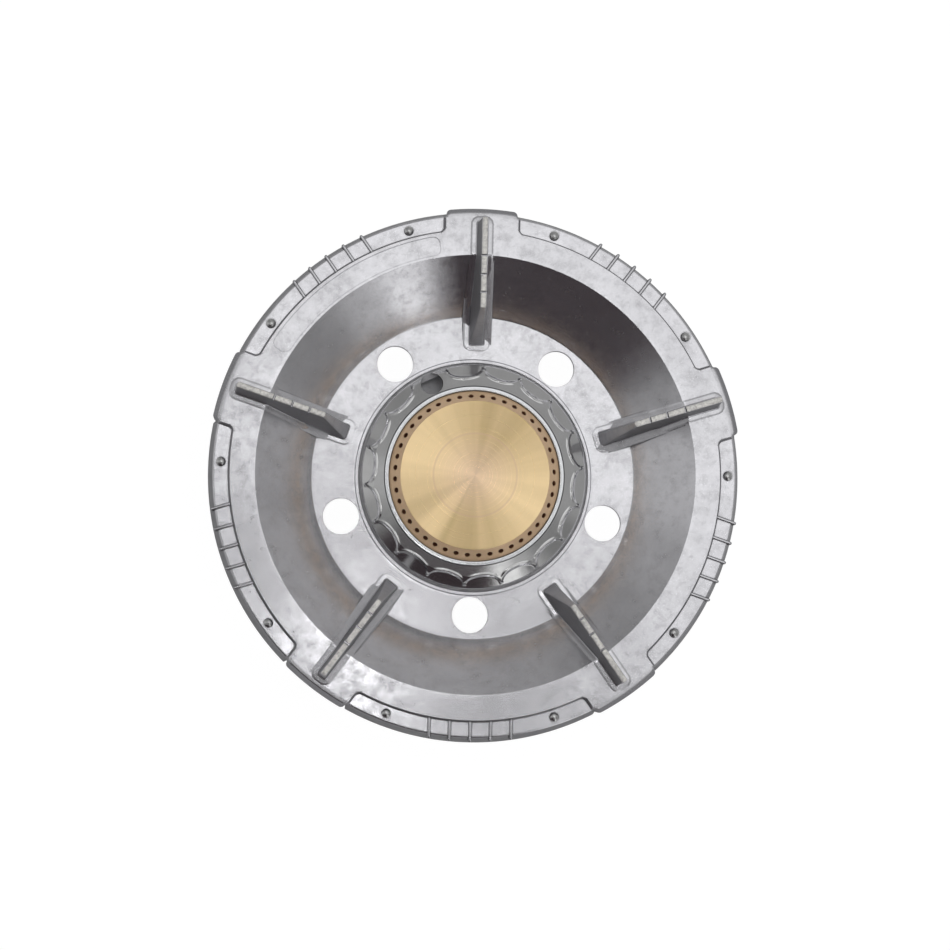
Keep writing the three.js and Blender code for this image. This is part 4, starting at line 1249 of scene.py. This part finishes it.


# Materials: sizes of clouds, marks and grain, heights of bumps and places of marks, also of painted shade,
# light and sheen
CAST_CLOUDS = 0.016
CAST_SMUDGES = 0.007
CAST_SPECKS = 0.0017
CAST_GRAIN = 0.0006
CAST_DENTS = 0.005
CAST_BUMP = 0.0001
# Reach of the painted corner shade, then zones of painted light on slanted faces and of painted shade on the
# skirt
CAST_CORNER_SHADE = 0.0011
LIT_SLANT_ZONE = (0.12, 0.11)
SKIRT_SHADE_ZONE = (0.1505, 0.1530)
LIP_MARKS = 0.003
LIP_RINGS = 9000
LIP_BUMP = 0.00003
CONE_CLOUDS = 0.024
CONE_HAZE = 0.012
CONE_MARKS = 0.005
CONE_STREAKS = 0.06
CONE_BUMP = 0.0002
CREST_RUB = 0.0022
CREST_BUMP = 0.0001
STEEL_BUMP = 0.00015
BRASS_CLOUDS = 0.02
# Size of the wedges of painted sheen
BRASS_SHEEN_SPOKES = 0.26
BRASS_RINGS = 2600
BRASS_ROSE = 0.028
# Reach of the painted corner shade on the brass
BRASS_CORNER_SHADE = 0.0012
BRASS_BUMP = 0.00004
TOOL_TRACE = 0.0244
TRACE_WIDTH = (0.0007, 0.0002)
SOOT_GRAIN = 0.0008
SOOT_BUMP = 0.0001
PLAIN_GRAIN = 0.003
PLAIN_BUMP = 0.0002
PLAIN_EDGE = 0.0004
# Directions of the painted sheen and the painted glint on the brass cap
PAINTED_SHEEN_AXIS = (math.cos(math.radians(159)), math.sin(math.radians(159)), 0)
PAINTED_GLINT_AXIS = (math.cos(math.radians(231)), math.sin(math.radians(231)), 0)


def give(socket, value):
    """Links an input socket to another socket, or gives it a plain value."""
    if isinstance(value, bpy.types.NodeSocket):
        socket.id_data.links.new(value, socket)
    else:
        socket.default_value = value


def node(tree, kind, inputs=None, **settings):
    made = tree.nodes.new(kind)
    for key, value in settings.items():
        setattr(made, key, value)
    for key, value in (inputs or {}).items():
        give(made.inputs[key], value)
    return made


def blank(name):
    material = bpy.data.materials.new(name)
    material.use_nodes = True
    material.node_tree.nodes.clear()
    return material, material.node_tree


def surface(name):
    """New material and the socket with the place on the object, in whose tree the helpers below work."""
    material, tree = blank(name)
    return material, node(tree, "ShaderNodeTexCoord").outputs["Object"]


def noise(place, size, detail=4, roughness=0.55, distortion=0):
    """Cloud noise with features of about the given size, in metres."""
    return node(place.id_data, "ShaderNodeTexNoise", {
        "Vector": place, "Scale": 1 / size, "Detail": detail,
        "Roughness": roughness, "Distortion": distortion,
    }).outputs["Fac"]


def ranged(value, low, high, to_low=0.0, to_high=1.0, kind="LINEAR"):
    return node(value.id_data, "ShaderNodeMapRange", {
        "Value": value, "From Min": low, "From Max": high, "To Min": to_low, "To Max": to_high,
    }, interpolation_type=kind).outputs["Result"]


def calc(operation, a, b=0.0):
    return node(a.id_data, "ShaderNodeMath", {0: a, 1: b}, operation=operation).outputs["Value"]


def times(a, b):
    return calc("MULTIPLY", a, b)


def plus(a, b):
    return calc("ADD", a, b)


def vector(operation, a, b=(0, 0, 0)):
    return node(a.id_data, "ShaderNodeVectorMath", {0: a, 1: b}, operation=operation).outputs


def dot(a, b):
    return vector("DOT_PRODUCT", a, b)["Value"]


def plan(place):
    """The place without its height."""
    return vector("MULTIPLY", place, (1, 1, 0))["Vector"]


def axis_distance(place):
    return vector("LENGTH", plan(place))["Value"]


def axis_direction(place):
    return vector("NORMALIZE", plan(place))["Vector"]


def turned_rings(place, rate, detail):
    """Fine rings left by turning, at a rate per metre of radius."""
    return node(place.id_data, "ShaderNodeTexNoise", {
        "W": times(axis_distance(place), rate), "Scale": 1.0, "Detail": detail,
    }, noise_dimensions="1D").outputs["Fac"]


def mixed(share, a, b, kind="RGBA"):
    made = node(share.id_data, "ShaderNodeMix", data_type=kind)
    first = {"RGBA": 6, "FLOAT": 2}[kind]
    for index, value in ((0, share), (first, a), (first + 1, b)):
        give(made.inputs[index], value)
    return made.outputs[{"RGBA": 2, "FLOAT": 0}[kind]]


def finish_look(material, colour, metal, roughness, bump, distance, strength, edge=0, more=None):
    """Surface shader with its bump; edge is the radius of softened edges."""
    tree = material.node_tree
    inputs = {"Height": bump, "Distance": distance, "Strength": strength}
    if edge:
        inputs["Normal"] = node(tree, "ShaderNodeBevel", {"Radius": edge}, samples=4).outputs["Normal"]
    normal = node(tree, "ShaderNodeBump", inputs).outputs["Normal"]
    sockets = {"Base Color": colour, "Metallic": metal, "Roughness": roughness, "Normal": normal}
    shader = node(tree, "ShaderNodeBsdfPrincipled", sockets | (more or {}))
    node(tree, "ShaderNodeOutputMaterial", {"Surface": shader.outputs["BSDF"]})
    return material


def tint(value, warm=0.0):
    return (value * (1 + warm), value, value * (1 - warm), 1)


def cool(value):
    return (value, value * 0.995, value * 1.035, 1)


def corner_shade(tree, distance):
    """Mask for painted shade in corners: 1 deep in a corner and 0 on open faces."""
    inputs = {"Distance": distance}
    shade = node(tree, "ShaderNodeAmbientOcclusion", inputs, samples=6, only_local=True)
    return ranged(shade.outputs["AO"], 0.86, 0.42)


def levelness(tree):
    """0 on upright faces and 1 on level ones."""
    normal = node(tree, "ShaderNodeNewGeometry").outputs["Normal"]
    return calc("ABSOLUTE", node(tree, "ShaderNodeSeparateXYZ", {0: normal}).outputs["Z"])


def cast_look(name="cast alloy", bright=0.66, rough=0.2):
    """Tumbled die casting: soft clouds, smudges and a fine grain; rougher and less metallic on upright faces,
    with painted shade on upright faces, on the skirt's outer face and in corners.
    """
    material, place = surface(name)
    clouds = noise(place, CAST_CLOUDS, 3, 0.5)
    smudges = noise(place, CAST_SMUDGES, 8, 0.68)
    grain = noise(place, CAST_GRAIN, 3, 0.6)
    level = levelness(material.node_tree)
    steep = ranged(level, 0.72, 0.2)
    specks = ranged(noise(place, CAST_SPECKS, 5, 0.62), 0.54, 0.76)
    colour = mixed(ranged(clouds, 0.3, 0.7), cool(bright * 0.92), cool(bright * 1.03))
    colour = mixed(ranged(smudges, 0.5, 0.78, 0, 0.7), colour, cool(bright * 0.68))
    colour = mixed(times(specks, 0.36), colour, cool(bright * 0.6))
    radius = axis_distance(place)
    # Painted shade: upright faces are darkened in colour; slanted faces near the middle, such as the ribs'
    # inner ends, are spared it and so painted lighter
    lit_slant_faces = times(ranged(level, 0.14, 0.22), ranged(radius, *LIT_SLANT_ZONE))
    painted_side_shade = times(steep, ranged(lit_slant_faces, 0, 1, 0.85, 0.1))
    colour = mixed(painted_side_shade, colour, cool(bright * 0.44))
    # Painted shade: the upright outer face of the skirt is darkened in colour
    skirt = times(ranged(radius, *SKIRT_SHADE_ZONE), ranged(level, 0.85, 0.65))
    colour = mixed(times(skirt, 0.8), colour, cool(bright * 0.16))
    # Painted shade: colour darkened in corners and creases
    colour = mixed(times(corner_shade(material.node_tree, CAST_CORNER_SHADE), 0.72), colour, cool(bright * 0.15))
    uneven = ranged(smudges, 0.3, 0.75, rough - 0.04, rough + 0.1)
    roughness = plus(uneven, ranged(grain, 0.3, 0.7, -0.02, 0.02))
    roughness = plus(roughness, times(steep, 0.25))
    dents = noise(place, CAST_DENTS, 2, 0.45)
    height = plus(times(grain, 0.25), times(dents, 0.7))
    metal = ranged(steep, 0, 0.8, 0.95, 0.5)
    glint = {"Specular Tint": (0.55, 0.55, 0.57, 1)}
    return finish_look(material, colour, metal, roughness, height, CAST_BUMP, 0.35, more=glint)


def lip_look():
    """Bright machined edge with fine turning marks."""
    material, place = surface("machined lip")
    rings = turned_rings(place, LIP_RINGS, 3)
    marks = noise(place, LIP_MARKS, 5, 0.7)
    colour = mixed(ranged(marks, 0.35, 0.7), (0.55, 0.56, 0.575, 1), (0.64, 0.65, 0.66, 1))
    roughness = ranged(marks, 0.3, 0.7, 0.14, 0.24)
    return finish_look(material, colour, 1, roughness, rings, LIP_BUMP, 0.3)


def cone_look():
    """Smooth turned cone with a patchy haze, streaks along its slope and a few marks."""
    material, place = surface("turned alloy")
    clouds = noise(place, CONE_CLOUDS, 3, 0.5)
    haze = ranged(noise(place, CONE_HAZE, 4, 0.6), 0.45, 0.75)
    marks = ranged(noise(place, CONE_MARKS, 3, 0.5, 0.3), 0.66, 0.82)
    streaks = ranged(noise(axis_direction(place), CONE_STREAKS, 4, 0.6), 0.35, 0.65)
    colour = mixed(ranged(clouds, 0.3, 0.7), (0.525, 0.54, 0.515, 1), (0.595, 0.61, 0.585, 1))
    colour = mixed(times(streaks, 0.3), colour, (0.46, 0.455, 0.45, 1))
    colour = mixed(times(marks, 0.14), colour, (0.8, 0.8, 0.8, 1))
    roughness = plus(ranged(haze, 0, 1, 0.12, 0.23), times(marks, 0.15))
    return finish_look(material, colour, 1, roughness, clouds, CONE_BUMP, 0.3)


def crest_look():
    """Worn rib tops with a pale, chalky rub."""
    material, place = surface("worn crest")
    rub = noise(place, CREST_RUB, 5, 0.7)
    colour = mixed(ranged(rub, 0.32, 0.58), (0.46, 0.45, 0.44, 1), (0.86, 0.84, 0.80, 1))
    roughness = ranged(rub, 0.3, 0.7, 0.28, 0.45)
    return finish_look(material, colour, 0.6, roughness, rub, CREST_BUMP, 0.25)


def steel_look(name, bright, rough_low, rough_high, size, warm=0.0):
    material, place = surface(name)
    clouds = noise(place, size, 5, 0.6, 0.4)
    marks = noise(place, size / 6, 5, 0.7, 0.8)
    colour = mixed(ranged(clouds, 0.3, 0.7), tint(bright * 0.88, warm), tint(bright, warm / 2))
    roughness = ranged(marks, 0.3, 0.7, rough_low, rough_high)
    return finish_look(material, colour, 1, roughness, marks, STEEL_BUMP, 0.12)


def brass_look():
    """Brass turned on a lathe: fine rings, wedges of painted sheen with a painted glint, a rosy middle,
    painted light on the chamfer and painted shade in corners.
    """
    material, place = surface("turned brass")
    radius = axis_distance(place)
    direction = axis_direction(place)
    rings = turned_rings(place, BRASS_RINGS, 4)
    # Painted sheen: the colour goes from dark to bright brass with the direction round the axis, in wedges
    # and one bright glint
    painted_spokes = noise(direction, BRASS_SHEEN_SPOKES, 3, 0.5)
    along = dot(direction, PAINTED_SHEEN_AXIS)
    painted_sheen = times(times(along, along), 0.75)
    painted_sheen = plus(painted_sheen, ranged(painted_spokes, 0.3, 0.7, 0.0, 0.36))
    painted_sheen = plus(painted_sheen, ranged(dot(direction, PAINTED_GLINT_AXIS), 0.972, 0.996, 0, 0.4))
    clouds = noise(place, BRASS_CLOUDS, 3, 0.5)
    centre = ranged(radius, 0.0, BRASS_ROSE, 1.0, 0.0)
    colour = mixed(painted_sheen, (0.48, 0.355, 0.18, 1), (0.93, 0.71, 0.41, 1))
    colour = mixed(times(rings, 0.22), colour, (0.66, 0.51, 0.30, 1))
    colour = mixed(times(centre, 0.6), colour, (0.82, 0.59, 0.45, 1))
    colour = mixed(ranged(clouds, 0.45, 0.8, 0, 0.25), colour, (0.60, 0.46, 0.29, 1))
    # Painted light: the chamfer and other side faces get a lighter brass colour
    side = ranged(levelness(material.node_tree), 0.92, 0.76)
    colour = mixed(times(side, 0.9), colour, (0.97, 0.68, 0.43, 1))
    # Painted shade: colour darkened in corners
    colour = mixed(times(corner_shade(material.node_tree, BRASS_CORNER_SHADE), 0.9), colour, (0.10, 0.03, 0.015, 1))
    trace = calc("ABSOLUTE", calc("SUBTRACT", radius, TOOL_TRACE))
    colour = mixed(ranged(trace, *TRACE_WIDTH, 0, 0.4), colour, (0.62, 0.42, 0.30, 1))
    roughness = ranged(rings, 0.3, 0.7, 0.27, 0.35)
    metal = ranged(side, 0, 1, 1.0, 0.15)
    grooves = {"Anisotropic": 0.7, "Tangent": plan(place)}
    return finish_look(material, colour, metal, roughness, rings, BRASS_BUMP, 0.07, more=grooves)


def soot_look():
    """Dark, burnt wall of the ports."""
    material, place = surface("burnt port")
    grain = noise(place, SOOT_GRAIN, 4, 0.6)
    colour = mixed(grain, (0.05, 0.016, 0.009, 1), (0.34, 0.15, 0.08, 1))
    return finish_look(material, colour, 0.3, 0.55, grain, SOOT_BUMP, 0.5)


def plain_look(name, colour, rough):
    material, place = surface(name)
    grain = noise(place, PLAIN_GRAIN, 5, 0.65)
    dark = tuple(c * 0.7 for c in colour) + (1,)
    shade = mixed(ranged(grain, 0.3, 0.7), dark, colour + (1,))
    roughness = ranged(grain, 0.3, 0.7, rough - 0.1, rough + 0.08)
    return finish_look(material, shade, 0, roughness, grain, PLAIN_BUMP, 0.5, PLAIN_EDGE)


CAST = cast_look()
CONE = cone_look()
RIB_CREST = crest_look()
TRAY_STEEL = steel_look("tray steel", 0.62, 0.1, 0.2, 0.02)
RIVET_STEEL = steel_look("rivet steel", 0.55, 0.18, 0.3, 0.004)
BRASS = brass_look()
LIP_ALLOY = lip_look()
PORT_SOOT = soot_look()
# Painted shade: the burner body and the bowl's ledge under the tray get this darker alloy in place of the
# shade they lie in
SHADED_BODY_ALLOY = cast_look("body alloy", 0.34, 0.42)
TUBE_ALLOY = cast_look("tube alloy", 0.5, 0.4)
STRAP_STEEL = steel_look("strap steel", 0.5, 0.26, 0.42, 0.012)
BOLT_STEEL = steel_look("bolt steel", 0.55, 0.2, 0.36, 0.004)
FITTING_BRASS = steel_look("fitting brass", 0.62, 0.22, 0.38, 0.01, 0.32)
FOOT_RUBBER = plain_look("rubber", (0.02, 0.02, 0.021), 0.75)
FIBRE = plain_look("fibre", (0.16, 0.12, 0.09), 0.85)


# Studio
FLOOR_HALF = 3.0
DOME_RADIUS = 1.4
DOME_CENTRE = 0.07
DOME_FOOT = -0.06
DOME_TOP = math.pi / 2 - 0.01
DOME_ROWS = 24
DOME_COLUMNS = 72
CAMERA_TILT = math.radians(5.83)
CAMERA_LEAN = math.radians(49.4)
CAMERA_TURN = math.radians(47.9)
CAMERA_DISTANCE = 1.4184
CAMERA_TARGET = (0, 0, RING_TOP)
CAMERA_LENS = 90.95
CAMERA_SHIFT = (0.00188, 0.00234)
CAMERA_FAR = 20


def floor():
    material, tree = blank("white floor")
    path = node(tree, "ShaderNodeLightPath").outputs
    through = calc("MAXIMUM", path["Is Glossy Ray"], path["Is Transmission Ray"])
    seen = calc("MAXIMUM", path["Is Camera Ray"], through)
    glow = node(tree, "ShaderNodeEmission", {"Color": (1, 1, 1, 1), "Strength": times(seen, 0.96)})
    matte = node(tree, "ShaderNodeBsdfDiffuse", {"Color": (0.12, 0.12, 0.12, 1)})
    both = node(tree, "ShaderNodeAddShader", {0: glow.outputs[0], 1: matte.outputs[0]})
    under = node(tree, "ShaderNodeNewGeometry").outputs["Backfacing"]
    clear = node(tree, "ShaderNodeBsdfTransparent")
    shown = node(tree, "ShaderNodeMixShader", {0: under, 1: both.outputs[0], 2: clear.outputs[0]})
    node(tree, "ShaderNodeOutputMaterial", {"Surface": shown.outputs[0]})
    h = FLOOR_HALF
    corners = np.array([(-h, -h, 0), (h, -h, 0), (h, h, 0), (-h, h, 0)])
    made = make_object("floor", (corners, [[0, 1, 2, 3]]))
    made.data.materials.append(material)


# Soft panels of the studio wall: middle and half width in degrees, change of brightness
WALL_PANELS = (
    (251, 39.5, -0.42),
    (296, 6.7, 0.9),
    (310, 9, 0.12),
    (330.5, 13, -0.15),
    (174.5, 13, 0.2),
    (122.5, 18, -0.1),
)
WALL_BRIGHT = 0.43
WALL_DARKEST = 0.055
DARK_TINT = (1, 0.8, 0.88, 1)
CEILING_LOW = 0.36
CEILING_HIGH = 1.36
CEILING_DARKEST = 0.1
CEILING_FALL = (-0.16, 0.24)
CEILING_LEAN = math.radians(49)
CEILING_EDGE = (0.84, 0.98)
# Soft patches of the ceiling: place at the camera's height, half width in degrees, change of brightness
CEILING_PATCHES = (
    (-0.046, 0.034, 3.8, -0.9),
    (-0.010, -0.010, 3.2, -0.65),
    (-0.066, 0.110, 2.4, 0.4),
    (0.113, -0.055, 3.2, -0.6),
    (0.128, -0.160, 2.6, -0.7),
    (-0.138, -0.025, 2.8, -0.5),
    (-0.062, -0.112, 2.2, 8.0),
    (-0.005, -0.142, 2.8, 0.8),
    (0.197, -0.140, 3.5, 0.45),
    (-0.180, 0.180, 4.5, 0.7),
    (-0.180, 0.090, 3.4, 0.6),
)


def soft_lobe(near, half, change):
    """Smooth bump of brightness about a direction; near is the cosine of the angle to it."""
    outside, inside = [math.cos(math.radians(half * share)) for share in (1.35, 0.65)]
    return ranged(near, outside, inside, 0, change, "SMOOTHSTEP")


def dome_material():
    material, place = surface("studio dome")
    tree = material.node_tree
    split = node(tree, "ShaderNodeSeparateXYZ", {0: place}).outputs
    azimuth = calc("ARCTAN2", split["Y"], split["X"])
    up = vector("NORMALIZE", place)["Vector"]
    height = node(tree, "ShaderNodeSeparateXYZ", {0: up}).outputs["Z"]
    wall = WALL_BRIGHT
    for middle, half, change in WALL_PANELS:
        near = calc("COSINE", calc("SUBTRACT", azimuth, math.radians(middle)))
        wall = plus(soft_lobe(near, half, change), wall)
    wall = calc("MAXIMUM", wall, WALL_DARKEST)
    lean = (math.cos(CEILING_LEAN), math.sin(CEILING_LEAN), 0)
    ceiling = ranged(dot(up, lean), *CEILING_FALL, CEILING_LOW, CEILING_HIGH, "SMOOTHSTEP")
    for x, y, half, change in CEILING_PATCHES:
        toward = np.array([x, y, CAMERA_DISTANCE])
        toward = tuple(toward / np.linalg.norm(toward))
        ceiling = plus(soft_lobe(dot(up, toward), half, change), ceiling)
    ceiling = calc("MAXIMUM", ceiling, CEILING_DARKEST)
    share = ranged(height, *CEILING_EDGE, kind="SMOOTHSTEP")
    strength = mixed(share, wall, ceiling, "FLOAT")
    colour = mixed(ranged(strength, WALL_DARKEST, WALL_BRIGHT / 2), DARK_TINT, (1, 1, 1, 1))
    glow = node(tree, "ShaderNodeEmission", {"Color": colour, "Strength": strength})
    node(tree, "ShaderNodeOutputMaterial", {"Surface": glow.outputs[0]})
    return material


def dome():
    rise = np.linspace(DOME_FOOT, DOME_TOP, DOME_ROWS)
    loops = [circle(DOME_RADIUS * math.cos(a), DOME_RADIUS * math.sin(a), DOME_COLUMNS) for a in rise]
    points, faces = stacked(loops)
    made = make_object("dome", (points, faces[:-2] + faces[-1:]))
    made.location.z = DOME_CENTRE
    made.data.materials.append(dome_material())
    made.visible_camera = False
    made.visible_shadow = False


def world():
    scene = bpy.context.scene
    made = bpy.data.worlds.new("studio")
    scene.world = made
    made.use_nodes = True
    tree = made.node_tree
    tree.nodes.clear()
    path = node(tree, "ShaderNodeLightPath").outputs
    seen = calc("MAXIMUM", path["Is Camera Ray"], path["Is Transmission Ray"])
    strength = mixed(seen, 0.5, 1.0, "FLOAT")
    back = node(tree, "ShaderNodeBackground", {"Color": (1, 1, 1, 1), "Strength": strength})
    node(tree, "ShaderNodeOutputWorld", {"Surface": back.outputs[0]})
    scene.view_settings.view_transform = "Standard"


def camera():
    tilt_direction = np.array([math.cos(CAMERA_LEAN), math.sin(CAMERA_LEAN), 0])
    across = np.array([-math.sin(CAMERA_LEAN), math.cos(CAMERA_LEAN), 0])
    up = np.array([0, 0, 1])
    back = up * math.cos(CAMERA_TILT) - tilt_direction * math.sin(CAMERA_TILT)
    ahead = tilt_direction * math.cos(CAMERA_TILT) + up * math.sin(CAMERA_TILT)
    right = ahead * math.cos(CAMERA_TURN) - across * math.sin(CAMERA_TURN)
    top = ahead * math.sin(CAMERA_TURN) + across * math.cos(CAMERA_TURN)
    lens = bpy.data.cameras.new("camera")
    lens.lens = CAMERA_LENS
    lens.shift_x, lens.shift_y = CAMERA_SHIFT
    lens.clip_end = CAMERA_FAR
    made = bpy.data.objects.new("camera", lens)
    bpy.context.scene.collection.objects.link(made)
    rows = [[right[i], top[i], back[i], CAMERA_TARGET[i] + back[i] * CAMERA_DISTANCE] for i in range(3)]
    made.matrix_world = Matrix(rows + [[0, 0, 0, 1]])
    bpy.context.scene.camera = made


pan_support()
tray()
cap()
burner_body()
stand_ring()
legs()
arm_bolts()
tube_parts()
shutter()
holder()
jet()
nut_and_nozzle()
rivets()
floor()
dome()
world()
camera()
